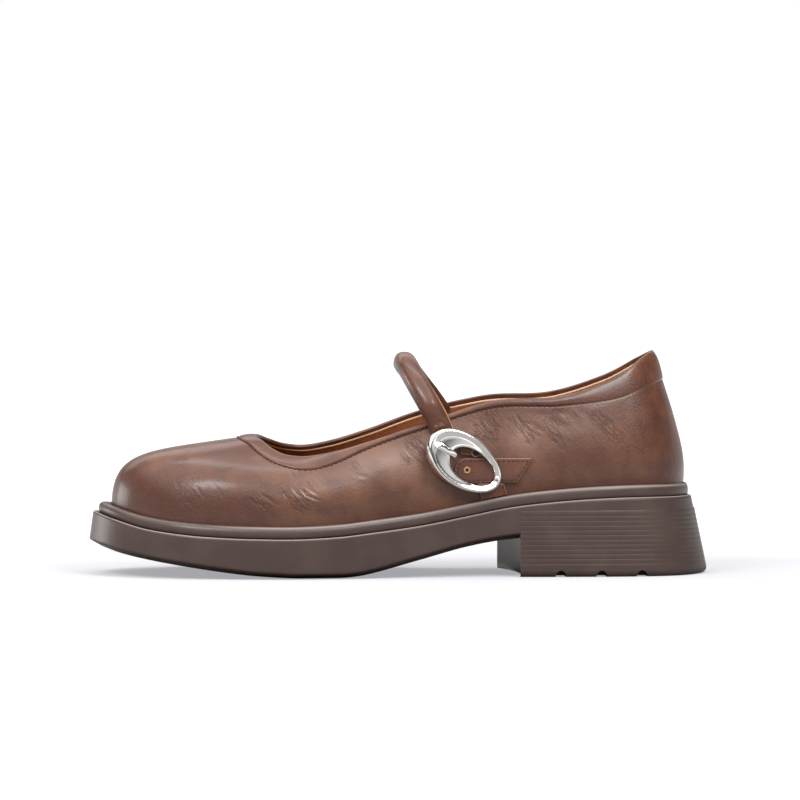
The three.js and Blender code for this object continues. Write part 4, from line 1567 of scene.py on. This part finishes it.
    def notches(self) -> bpy.types.Object:
        """Builds the cutter of the notches under the heel.

        Returns:
            The piece.
        """
        made = []
        for i, side in itertools.product(range(self.notch_count), (-1, 1)):
            deselect()
            bpy.ops.mesh.primitive_cylinder_add(vertices=20, radius=0.5, depth=1)
            made.append(bpy.context.object)
            along = self.notch_first + i * self.notch_pitch
            middle = LAST.in_frame(np.array([along, side * self.notch_middle, 0.0]))
            turn = Matrix.Rotation(math.pi / 2, 4, "X")
            size = (self.notch_foot * MM, self.notch_reach * MM, 2 * self.notch_depth * MM, 1)
            made[-1].data.transform(Matrix.Translation(Vector(middle)) @ Matrix.Diagonal(size) @ turn)
        return join(made)

    def insole_edge(self, place: Points) -> Points:
        """Edge of the insole, just inside the wall of the upper."""
        return LAST.at_height(place, self.insole_thick + 0.2, -LAST.wall - LAST.gap - 0.4)

    def insole(self) -> bpy.types.Object:
        """Builds the cover of the insole, a little hollow where the foot rests.

        Returns:
            The piece.
        """
        first, last = self.insole_ends
        place = np.linspace(first, last, 181)
        left, right = self.insole_edge(place), self.insole_edge(len(OUTLINE.rows) - place)
        rows = []
        for share in np.linspace(0, 1, 31):
            row = lerp(left, right, share)
            hollow = self.insole_hollow * (4 * share * (1 - share)) ** 0.6
            ends = np.clip(np.minimum(place - first, last - place) / 1.2, 0, 1)
            row[:, 2] = LAST.ledge(row[:, 0]) + self.insole_thick + 1.5 - hollow * ends
            rows.append(row)
        top = np.stack(rows)
        low = top.copy()
        low[..., 2] -= 1.1
        piece = lay_grid("insole_cover", np.concatenate([top, low[::-1], top[:1]]))
        edit_all(
            piece,
            lambda: bpy.ops.mesh.select_all(action="DESELECT"),
            lambda: bpy.ops.mesh.select_non_manifold(),
            lambda: bpy.ops.mesh.fill(),
        )
        smooth(piece, 50)
        return piece

    def build(self, wardrobe: Wardrobe) -> None:
        """Builds and dresses the sole.

        Args:
            wardrobe: The finishes.
        """
        finish_piece(self.welt(), wardrobe.rubber, ["welt"])
        body = self.body()
        cut(body, self.tread())
        finish_piece(body, wardrobe.rubber, ["outsole"])
        finish_piece(self.heel(), wardrobe.rubber, ["heel"])
        finish_piece(self.insole(), wardrobe.insole)
        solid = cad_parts["insole"]
        solid.data.materials.clear()
        solid.data.materials.append(wardrobe.insole)


@dataclass(frozen=True)
class Strap:
    """The rolled strap over the instep."""

    wide: float = 9.5
    thick: float = 6.6
    flat: float = 2.2
    rise: float = 21.7
    foot_x: float = 15.5
    apex_x: float = 3.2
    inner_x: float = 19.2
    tuck: float = 9
    rings: int = 160
    edge_size: float = 0.34
    buckle_top: float = 0.0
    path: tuple = (
        (0.0, -1.065, 0.0, 0.6),
        (0.25, -1.01, 0.27, 1),
        (0.64, -0.82, 0.66, 1),
        (0.92, -0.46, 0.94, 1),
        (1.0, 0.0, 1.02, 1),
        (0.9, 0.42, 0.93, 1),
        (0.6, 0.72, 0.62, 0.92),
        (0.27, 0.82, 0.27, 0.35),
    )
    half_section: tuple = ((0, 0), (0.96, 0), (1.0, 0.2), (0.94, 0.52), (0.72, 0.82), (0.36, 0.97), (0, 1))

    def stations(self) -> tuple[Points, Points, Points]:
        """Points, directions out and roundness of the strap where it is fixed and over the arch.

        Returns:
            Points, directions, and shares of the full thickness.
        """
        outer = LAST.topline_at(self.foot_x, Side.OUTER)
        inner = LAST.topline_at(self.inner_x, Side.INNER)
        apex = outer[2] + self.rise
        lean = abs(self.foot_x - self.apex_x) / self.rise
        centre = np.array([self.apex_x, 0, outer[2]])
        found = []
        for share, thick in ((1, 0), (0.5, 0), (0, 0.05)):
            z = self.buckle_top - self.tuck * share
            off = LAST.gap + 0.8 * (1 - share) / 2
            x = outer[0] + lean * (outer[2] - z) * 0.75
            found.append((*self.on_wall(x, z, Side.OUTER, off), thick))
        for forward, across, rise, thick in self.path:
            top = outer if across < 0 else inner
            x, z = lerp(top[0], self.apex_x, forward), lerp(top[2], apex, rise)
            point = np.array([x, abs(top[1]) * across, z])
            out = point - centre
            out[0] = 0
            found.append((point, unit(out), thick))
        inside = -LAST.wall - LAST.gap - self.flat
        for down in (0.6, 2.6):
            x, z = inner[0] + lean * down, inner[2] - down
            found.append((*self.on_wall(x, z, Side.INNER, inside), 0))
        points, outs, thicks = zip(*found)
        return np.array(points), np.array(outs), np.array(thicks)

    def on_wall(self, x: float, z: float, side: Side, distance: float) -> tuple[Points, Points]:
        """A point of the strap where it lies against the leather.

        Args:
            x: Along the shoe.
            z: Above the floor.
            side: Side of the shoe.
            distance: Distance from the outer face.

        Returns:
            The point, and the direction out.
        """
        place, v = LAST.find(np.array(x), np.array(z), side)
        return LAST.off(place, v, distance), LAST.normal(place, v)

    def roll(self) -> list[bpy.types.Object]:
        """Builds the roll and the thin raw edge along its back.

        Returns:
            The roll and its edge.
        """
        points, outs, thicks = self.stations()
        count = self.rings
        line, lean = through(points, count), through(outs, count)
        share = np.clip(through(thicks[:, None], count)[:, 0], 0, 1)
        half = through(np.array(self.half_section), 19)
        half = np.maximum(half, 0)
        loop = np.vstack([half, half[-2:0:-1] * [-1, 1]])
        heights = lerp(self.flat, self.thick, share)
        roll = sweep("strap_roll", line, lean, loop, np.full(count, self.wide / 2), heights)
        smooth(roll, 60)
        runs = unit(np.gradient(line, axis=0))
        sides = unit(np.cross(lean, runs))
        ups = unit(np.cross(runs, sides))
        kept = slice(8, int(count * 0.55))
        reach = sides * (self.wide / 2 + 0.1)
        if reach[count // 3, 0] < 0:
            reach = -reach
        edge_line = line + reach + ups * 0.6
        size = np.full(count, self.edge_size)[kept]
        edge = sweep("strap_edge", edge_line[kept], ups[kept], round_section(8), size, size * 1.3)
        smooth(edge, 60)
        return [roll, edge]

    def build(self, wardrobe: Wardrobe) -> None:
        """Builds and dresses the strap.

        Args:
            wardrobe: The finishes.
        """
        roll, edge = self.roll()
        finish_piece(roll, wardrobe.leather, ["strap"])
        finish_piece(edge, wardrobe.edge)


def pad(
    name: str, outline: Points, base: float, thick: float, rounding: float, bright: float = 0.0
) -> bpy.types.Object:
    """Builds a flat piece of leather that lies on the outer side, with rounded edges.

    Args:
        name: Name of the piece.
        outline: Closed outline as seen from that side, along and up, without its first point repeated.
        base: Distance of its back from the upper.
        thick: Its thickness.
        rounding: Radius of its edges.
        bright: How light its cut edge is.

    Returns:
        The piece.
    """
    loop = np.vstack([outline, outline[:1]])
    centre = outline.mean(axis=0)
    run = np.roll(outline, -1, axis=0) - np.roll(outline, 1, axis=0)
    inwards = unit(np.stack([-run[:, 1], run[:, 0]], axis=1))
    if ((centre - outline) * inwards).sum() < 0:
        inwards = -inwards
    inwards = np.vstack([inwards, inwards[:1]])
    rows = [(centre + 0 * loop, base)]
    rows += [(lerp(centre, loop + inwards * rounding, share), base) for share in (0.4, 0.8)]
    rows += [(loop + inwards * 0.1, base)]
    for angle in np.linspace(0, math.pi / 2, 5):
        inset = rounding * (1 - math.cos(angle))
        rows.append((loop + inwards * inset, base + thick - rounding + rounding * math.sin(angle)))
    inner = loop + inwards * rounding
    for share in (0.85, 0.65, 0.45, 0.2, 0.0):
        rows.append((lerp(centre, inner, share), base + thick + 0.12 * (1 - share)))
    points = np.stack([LAST.off_side(flat[:, 0], flat[:, 1], np.full(len(flat), off)) for flat, off in rows])
    shade = np.zeros(len(rows))
    shade[3:8] = bright
    piece = lay_grid(name, points, {"edge": shade[:, None]})
    smooth(piece, 50)
    return piece


def on_pad(line: Points, height: float) -> tuple[Points, Points]:
    """A line on a pad, and the directions out of it.

    Args:
        line: Along and up.
        height: Distance from the upper.

    Returns:
        Points and directions.
    """
    place, v = LAST.find(line[:, 0], line[:, 1])
    return LAST.off(place, v, height + 0 * place), LAST.normal(place, v)


@dataclass(frozen=True)
class SideTab:
    """The tab and the anchor strip on the outer side, with their stitches."""

    thick: float = 1.4
    start_x: float = 23
    end_x: float = 56.7
    slant: float = 6.4
    up: float = 0.36
    wide: float = 10.4
    anchor_x: float = 38.6
    anchor_wide: float = 11.6
    anchor_lean: float = 1.6
    buckle_x: float = 27.0
    inset: float = 1.25
    stitch_pitch: float = 2.05
    stitch_size: tuple[float, float, float] = (1.5, 0.5, 0.44)
    stitch_lift: float = 0.12
    eyelet: tuple[float, float] = (28.3, 45.7)
    eyelet_rim: float = 1.1
    eyelet_thick: float = 0.36
    eyelet_hole_shade: float = 0.8
    torn: tuple[float, float] = (32.3, 52.9)
    torn_hole_shade: float = 1.6
    fibre_pitch: float = 0.62
    fibre_size: tuple[float, float, float] = (1.1, 0.3, 0.34)
    strap_end: tuple = (
        (25.8, 52.1),
        (38.6, 52.1),
        (38.0, 54.4),
        (35.4, 57.4),
        (31.5, 59.2),
        (27.6, 58.6),
        (25.6, 55.4),
    )

    def outline(self, inset: float) -> Points:
        """Outline of the tab, moved inwards.

        Args:
            inset: How far inwards.

        Returns:
            Points, along and up.
        """
        middle = LAST.side_height(self.buckle_x, self.up)
        half = self.wide / 2 - inset
        turns = np.linspace(math.pi / 2, 3 * math.pi / 2, 25)
        centre = self.start_x + self.wide / 2
        round_end = np.stack([centre + half * np.cos(turns), middle + half * np.sin(turns)], axis=1)
        top_x, low_x = self.end_x - inset * 1.35, self.end_x - self.slant - inset * 0.75
        bottom = np.stack([np.linspace(centre, low_x, 24), np.full(24, middle - half)], axis=1)[1:]
        rise = np.linspace(middle - half, middle + half, 14)
        slanted = np.stack([np.linspace(low_x, top_x, 14), rise], axis=1)[1:]
        top = np.stack([np.linspace(top_x, centre, 30), np.full(30, middle + half)], axis=1)[1:-1]
        return np.vstack([round_end, bottom, slanted, top])

    def anchor(self) -> bpy.types.Object:
        """Builds the anchor strip between the tab and the welt.

        Returns:
            The piece.
        """
        top = LAST.side_height(self.buckle_x, self.up) - self.wide / 2 - LAST.gap
        left, right = self.anchor_x - self.anchor_wide / 2, self.anchor_x + self.anchor_wide / 2
        low_left, low_right = left + self.anchor_lean, right + self.anchor_lean
        foot = LAST.ledge(np.array([low_left, low_right])) + LAST.welt_height + 2 * LAST.gap
        corners = np.array([(left, top), (low_left, foot[0]), (low_right, foot[1]), (right, top)])
        steps = np.linspace(0, 1, 9)[:-1]
        sides = [lerp(corners[i], corners[(i + 1) % 4], t) for i in range(4) for t in steps]
        return pad("anchor_strip", np.array(sides), LAST.gap, self.thick, 0.5, 0.3)

    def build(self, wardrobe: Wardrobe) -> None:
        """Builds and dresses the tab, the anchor, their stitches, the eyelet and the torn hole.

        Args:
            wardrobe: The finishes.
        """
        tab = pad("side_tab", self.outline(0), LAST.gap, self.thick, 0.55, 0.35)
        finish_piece(tab, wardrobe.leather, ["tab"])
        finish_piece(self.anchor(), wardrobe.leather, ["anchor"])
        loop = self.outline(self.inset)
        self.stitch("tab_stitches", np.vstack([loop, loop[:1]]), wardrobe)
        right = self.anchor_x + self.anchor_wide / 2 - 1.1
        low = LAST.ledge(np.array(right)) + LAST.welt_height + 1.0
        high = LAST.side_height(self.buckle_x, self.up) - self.wide / 2 - 1.0
        along = np.linspace(right, right + self.anchor_lean, 12)
        self.stitch("anchor_stitches", np.stack([along, np.linspace(high, low, 12)], axis=1), wardrobe)
        rim = self.ring("eyelet_rim", *self.eyelet, self.eyelet_rim, self.eyelet_thick)
        finish_piece(rim, wardrobe.edge)
        # Painted shade: a dark disc inside the eyelet.
        hole = self.plug("eyelet_hole_shade", *self.eyelet, self.eyelet_hole_shade, 0.12)
        finish_piece(hole, wardrobe.hole)
        corners = np.array(self.strap_end)
        outline = through(np.vstack([corners, corners[:1]]), 57)[:-1]
        end = pad("strap_end", outline, LAST.gap, self.thick, 0.5, 0.3)
        finish_piece(end, wardrobe.leather)
        # Painted shade: a dark disc inside the torn hole.
        torn = self.plug("torn_hole_shade", *self.torn, self.torn_hole_shade, 0.2)
        finish_piece(torn, wardrobe.hole)
        turns = np.linspace(0.4, 5.2, 40)
        x = self.torn[0] + 2.0 * np.cos(turns)
        z = self.torn[1] + 1.5 * np.sin(turns) + 0.2 * np.sin(4 * turns)
        line, outs = on_pad(np.stack([x, z], axis=1), LAST.gap + self.thick + 0.3)
        fibres = sew("torn_fibres", line, outs, self.fibre_pitch, self.fibre_size)
        finish_piece(fibres, wardrobe.edge)

    def stitch(self, name: str, line: Points, wardrobe: Wardrobe) -> None:
        """Sews and dresses a row of stitches.

        Args:
            name: Name of the piece.
            line: Along and up.
            wardrobe: The finishes.
        """
        points, outs = on_pad(line, LAST.gap + self.thick + self.stitch_lift)
        row = sew(name, points, outs, self.stitch_pitch, self.stitch_size)
        finish_piece(row, wardrobe.thread)

    def ring(self, name: str, x: float, z: float, radius: float, thick: float) -> bpy.types.Object:
        """Builds a small rim round a hole of the tab.

        Args:
            name: Its name.
            x: Along the shoe.
            z: Above the floor.
            radius: Its radius.
            thick: Its thickness.

        Returns:
            The piece.
        """
        turns = np.linspace(0, 2 * math.pi, 33)
        tube = np.linspace(0, 2 * math.pi, 13)
        rows = []
        for angle in tube:
            far = radius + thick * np.cos(angle) + 0.07 * np.sin(5 * turns)
            up = LAST.gap + self.thick + 0.15 + thick * 0.8 * np.sin(angle) + 0 * turns
            rows.append(LAST.off_side(x + far * np.cos(turns), z + far * np.sin(turns), up))
        piece = lay_grid(name, np.stack(rows))
        smooth(piece, 80)
        return piece

    def plug(self, name: str, x: float, z: float, radius: float, up: float) -> bpy.types.Object:
        """Builds a dark disc at the bottom of a hole: painted shade inside the hole.

        Args:
            name: Its name.
            x: Along the shoe.
            z: Above the floor.
            radius: Its radius.
            up: Height above what it lies on.

        Returns:
            The piece.
        """
        turns = np.linspace(0, 2 * math.pi, 25)[:-1]
        ragged = radius * (1 + 0.12 * np.sin(3 * turns + 1))
        outline = np.stack([x + ragged * np.cos(turns), z + ragged * np.sin(turns)], axis=1)
        return pad(name, outline, LAST.gap + self.thick, up, 0.05)


@dataclass(frozen=True)
class Buckle:
    """The oval buckle and its pin."""

    long: float = 35.6
    wide: float = 22.4
    egg: float = 0.09
    window_long: float = 21.2
    window_wide: float = 13.2
    window_shift: float = 3.8
    thick: float = 2.8
    x: float = 27.0
    up: float = 0.44
    lean: float = -30.0
    lift: float = 3.2
    crown: float = 0.12
    rim: float = 3.1
    broad_rim: float = 1.5
    prong_wide: float = 2.4
    prong_thick: float = 1.4
    prong_shift: float = -0.2
    tab_thick: float = 1.4
    slot_span: tuple[float, float] = (-6.6, -1.6)
    slot_side: float = 1.35
    slot_up: float = 2.0
    slot_size: float = 0.42
    pin: tuple = (
        (-6.0, 2.7, 0.8),
        (-5.5, 2.9, 1),
        (-2.6, 2.9, 1),
        (-0.4, 2.75, 1),
        (1.6, 1.95, 0.95),
        (2.4, 1.5, 0.7),
    )
    section: tuple = (
        (0.0, 0.0),
        (0.0, 0.2),
        (0.03, 0.42),
        (0.1, 0.66),
        (0.22, 0.88),
        (0.36, 0.99),
        (0.46, 0.98),
        (0.56, 0.92),
        (0.78, 0.72),
        (0.93, 0.58),
        (1.0, 0.56),
    )

    def top(self) -> float:
        """Height of the upper edge.

        Returns:
            Height above the floor.
        """
        lean = math.radians(self.lean)
        rise = math.hypot(self.long / 2 * math.sin(lean), self.wide / 2 * math.cos(lean))
        return LAST.side_height(self.x, self.up) + rise

    def point(self, along: Points, across: Points, up: Points) -> Points:
        """A point by its distance along the long axis, across it and up from the back.

        Args:
            along: Distances along the long axis, towards the narrow end.
            across: Distances across it.
            up: Height above what it lies on.

        Returns:
            Points.
        """
        lean = math.radians(self.lean)
        x = self.x + along * math.cos(lean) - across * math.sin(lean)
        z = LAST.side_height(self.x, self.up) + along * math.sin(lean) + across * math.cos(lean)
        broad = (1 - along / (self.long / 2)) / 2
        back = 2 * LAST.gap + self.tab_thick + self.lift * broad
        return LAST.off_side(x, z, back + up)

    def ring(self) -> bpy.types.Object:
        """Builds the ring with its recessed plate at the broad end.

        Returns:
            The piece.
        """
        angle = np.linspace(0, 2 * math.pi, 145)
        egg = (1 - self.egg * np.cos(angle)) * np.sin(angle)
        rim = np.stack([self.long / 2 * np.cos(angle), self.wide / 2 * egg])
        along = self.window_shift + self.window_long / 2 * np.cos(angle)
        hole = np.stack([along, self.window_wide / 2 * egg])
        width = np.hypot(*(hole - rim))
        crown = self.thick * (1 + self.crown * (1 - np.cos(angle)))
        ring = np.minimum(self.rim + self.broad_rim * (1 - np.cos(angle)) / 2, width * 0.88)
        rows = [(ring * share, up) for share, up in self.section]
        rows += [(lerp(ring, width - 0.35, t), 0.56 - 0.06 * t) for t in (0.25, 0.5, 0.75, 1.0)]
        rows += [(width - 0.14, 0.46), (width - 0.02, 0.3), (width, 0.14), (width - 0.05, 0.0)]
        points = []
        for inward, up in rows:
            share = inward / width
            flat = rim + (hole - rim) * share
            points.append(self.point(flat[0], flat[1], crown * up))
        points.append(points[0])
        piece = lay_grid("buckle_ring", np.stack(points))
        smooth(piece, 50)
        return piece

    def prong(self) -> bpy.types.Object:
        """Builds the pin, which lies over the plate and reaches into the window.

        Returns:
            The piece.
        """
        start = self.window_shift - self.window_long / 2
        line = through(np.array(self.pin), 48)
        turns = np.linspace(0, 2 * math.pi, 33)
        rows = []
        for along, up, size in line:
            flat = np.sign(np.cos(turns)) * np.abs(np.cos(turns)) ** 0.7
            high = np.sign(np.sin(turns)) * np.abs(np.sin(turns)) ** 0.7
            across = -self.prong_shift + self.prong_wide / 2 * size * flat
            lifted = up + self.prong_thick / 2 * size * high
            rows.append(self.point(start + along + 0 * turns, across, lifted))
        first = np.repeat(rows[0].mean(axis=0, keepdims=True), len(turns), axis=0)
        last = np.repeat(rows[-1].mean(axis=0, keepdims=True), len(turns), axis=0)
        piece = lay_grid("buckle_prong", np.stack([first, *rows, last]))
        smooth(piece, 50)
        return piece

    def slot(self) -> bpy.types.Object:
        """Builds a dark rod along the upper side of the pin, where it is hinged in the plate: painted shade
        in the gap between pin and plate.

        Returns:
            The piece.
        """
        start = self.window_shift - self.window_long / 2
        along = np.linspace(*self.slot_span, 24)
        across = self.slot_side - self.prong_shift + 0 * along
        line = self.point(start + along, across, self.slot_up + 0 * along)
        over = self.point(start + along, across, self.slot_up + 1 + 0 * along)
        size = self.slot_size * np.sqrt(np.clip(1 - np.linspace(-0.94, 0.94, 24) ** 2, 0, 1))
        piece = sweep("buckle_slot_shade", line, unit(over - line), round_section(8), size, size * 0.6)
        smooth(piece, 60)
        return piece

    def build(self, wardrobe: Wardrobe) -> None:
        """Builds and dresses the buckle.

        Args:
            wardrobe: The finishes.
        """
        # Painted shade in the gap beside the pin.
        finish_piece(self.slot(), wardrobe.hole)
        finish_piece(self.ring(), wardrobe.metal, ["buckle"])
        finish_piece(self.prong(), wardrobe.metal, ["prong"])


@dataclass(frozen=True)
class Studio:
    """Floor, lights and camera."""

    distance: float = 2.0
    azimuth: float = -2.5
    elevation: float = 1.3
    target: tuple[float, float, float] = (0.0006, 0.0, 0.075)
    lens: float = 207.0
    room_light: tuple = ((0.0, 0.7), (0.14, 0.6), (0.24, 0.08), (0.5, 0.1), (0.65, 0.45), (1.0, 0.7))
    floor_seen: tuple = (0.33, 0.33, 0.34, 1)
    floor_dark: tuple = (0.26, 0.25, 0.245, 1)
    floor_light: tuple = (0.85, 0.85, 0.85, 1)
    dark_reach: tuple[float, float] = (0.25, 0.65)
    glow_near: tuple = (0.37, 0.37, 0.39, 1)
    glow_far: tuple = (0.85, 0.85, 0.85, 1)
    glow_reach: tuple[float, float] = (0.14, 0.6)
    sun_power: float = 2.2
    sun_spread: float = 100
    sun_lean: tuple[float, float] = (18, -12)
    lamps: tuple = (
        ("key", (-0.62, -0.82, 0.93), (-0.05, 0, 0.05), (0.6, 0.35), 10),
        ("side", (0.5, -0.95, 0.9), (0.05, 0, 0.05), (0.45, 0.3), 8),
        ("top", (0.05, 0.05, 1.25), (0.0, 0, 0.05), (1.6, 0.18), 4),
        ("rim", (0.0, 1.15, 0.7), (0, 0, 0.06), (1.8, 0.4), 3),
        ("low", (-0.9, 0.45, 0.14), (0.05, 0, 0.02), (0.5, 0.2), 1.6),
    )

    def floor(self) -> None:
        """Lays a white floor. For the camera it glows, less near the shoe: painted light that lifts the
        shadow under the shoe. Seen in reflections and bounced light it is darker near the shoe.
        """
        deselect()
        bpy.ops.mesh.primitive_plane_add(size=16)
        floor = bpy.context.object
        floor.name = "floor"
        finish = Finish("white_floor")
        seen = finish.node("ShaderNodeLightPath")
        flat = finish.node("ShaderNodeVectorMath", {"operation": "LENGTH"}, {0: finish.place}, "Value")
        # Painted light: the glow, seen only by the camera, lifts the shadow under the shoe and whitens the
        # floor further out.
        glow = finish.mix(flat.band(*self.glow_reach), self.glow_near, self.glow_far)
        unseen = finish.mix(flat.band(*self.dark_reach), self.floor_dark, self.floor_light)
        finish.feed("Base Color", finish.mix(seen, unseen, self.floor_seen))
        finish.feed("Emission Color", finish.mix(seen, (0, 0, 0, 1), glow))
        finish.feed("Emission Strength", 1.0)
        finish.feed("Roughness", 0.7 + 0.1 * finish.noise(3, 1))
        finish.feed("Specular IOR Level", 0.0)
        floor.data.materials.append(finish.material)

    def area(self, name: str, place: tuple, aim: tuple, size: tuple[float, float], power: float) -> None:
        """Hangs a soft box.

        Args:
            name: Its name.
            place: Where it hangs.
            aim: What it points at.
            size: Width and height.
            power: In watts.
        """
        light = bpy.data.lights.new(name, "AREA")
        light.shape, light.size, light.size_y, light.energy = "RECTANGLE", size[0], size[1], power
        lamp = bpy.data.objects.new(name, light)
        lamp.location = place
        lamp.rotation_euler = (Vector(place) - Vector(aim)).to_track_quat("Z", "Y").to_euler()
        bpy.context.collection.objects.link(lamp)

    def sun(self) -> None:
        """Lights the floor evenly from above."""
        light = bpy.data.lights.new("sky_panel", "SUN")
        light.energy, light.angle = self.sun_power, math.radians(self.sun_spread)
        lamp = bpy.data.objects.new("sky_panel", light)
        lamp.rotation_euler = (*(math.radians(angle) for angle in self.sun_lean), 0)
        bpy.context.collection.objects.link(lamp)

    def world(self) -> None:
        """Surrounds the shoe with a pale room, white where the camera sees it."""
        world = bpy.data.worlds.new("room")
        world.use_nodes = True
        tree = world.node_tree
        tree.nodes.clear()
        kinds = "LightPath TexCoord SeparateXYZ ValToRGB Background Background MixShader OutputWorld"
        made = [tree.nodes.new("ShaderNode" + kind) for kind in kinds.split()]
        path, where, split, ramp, room, white, mix, out = made
        tree.links.new(where.outputs["Generated"], split.inputs[0])
        tree.links.new(split.outputs["Z"], ramp.inputs[0])
        stops = ramp.color_ramp.elements
        stops[0].position, stops[1].position = self.room_light[0][0], self.room_light[-1][0]
        for height, _ in self.room_light[1:-1]:
            stops.new(height)
        for stop, (_, light) in zip(stops, self.room_light):
            stop.color = (light, light, light, 1)
        tree.links.new(ramp.outputs[0], room.inputs["Color"])
        white.inputs["Color"].default_value = (1, 1, 1, 1)
        tree.links.new(path.outputs["Is Camera Ray"], mix.inputs[0])
        tree.links.new(room.outputs[0], mix.inputs[1])
        tree.links.new(white.outputs[0], mix.inputs[2])
        tree.links.new(mix.outputs[0], out.inputs[0])
        bpy.context.scene.world = world

    def camera(self) -> None:
        """Sets the camera at the photograph's angle."""
        a, e = math.radians(self.azimuth), math.radians(self.elevation)
        back = Vector((math.sin(a) * math.cos(e), -math.cos(a) * math.cos(e), math.sin(e)))
        data = bpy.data.cameras.new("portrait")
        data.lens, data.sensor_width = self.lens, 36
        camera = bpy.data.objects.new("portrait", data)
        camera.location = Vector(self.target) + back * self.distance
        camera.rotation_mode = "QUATERNION"
        camera.rotation_quaternion = (-back).to_track_quat("-Z", "Y")
        bpy.context.collection.objects.link(camera)
        bpy.context.scene.camera = camera

    def build(self) -> None:
        """Sets up the studio."""
        self.camera()
        self.world()
        self.floor()
        self.sun()
        for lamp in self.lamps:
            self.area(*lamp)
        view = bpy.context.scene.view_settings
        view.view_transform, view.look, view.exposure = "Standard", "None", 0.0


def main() -> None:
    """Builds the shoe from the ground up, then the studio."""
    logging.basicConfig(level=logging.INFO, format="%(name)s: %(message)s")
    wardrobe = Wardrobe()
    Sole().build(wardrobe)
    Upper().build(wardrobe)
    buckle = Buckle()
    Strap(buckle_top=buckle.top()).build(wardrobe)
    SideTab().build(wardrobe)
    buckle.build(wardrobe)
    Studio().build()


if __name__ == "__main__":
    main()
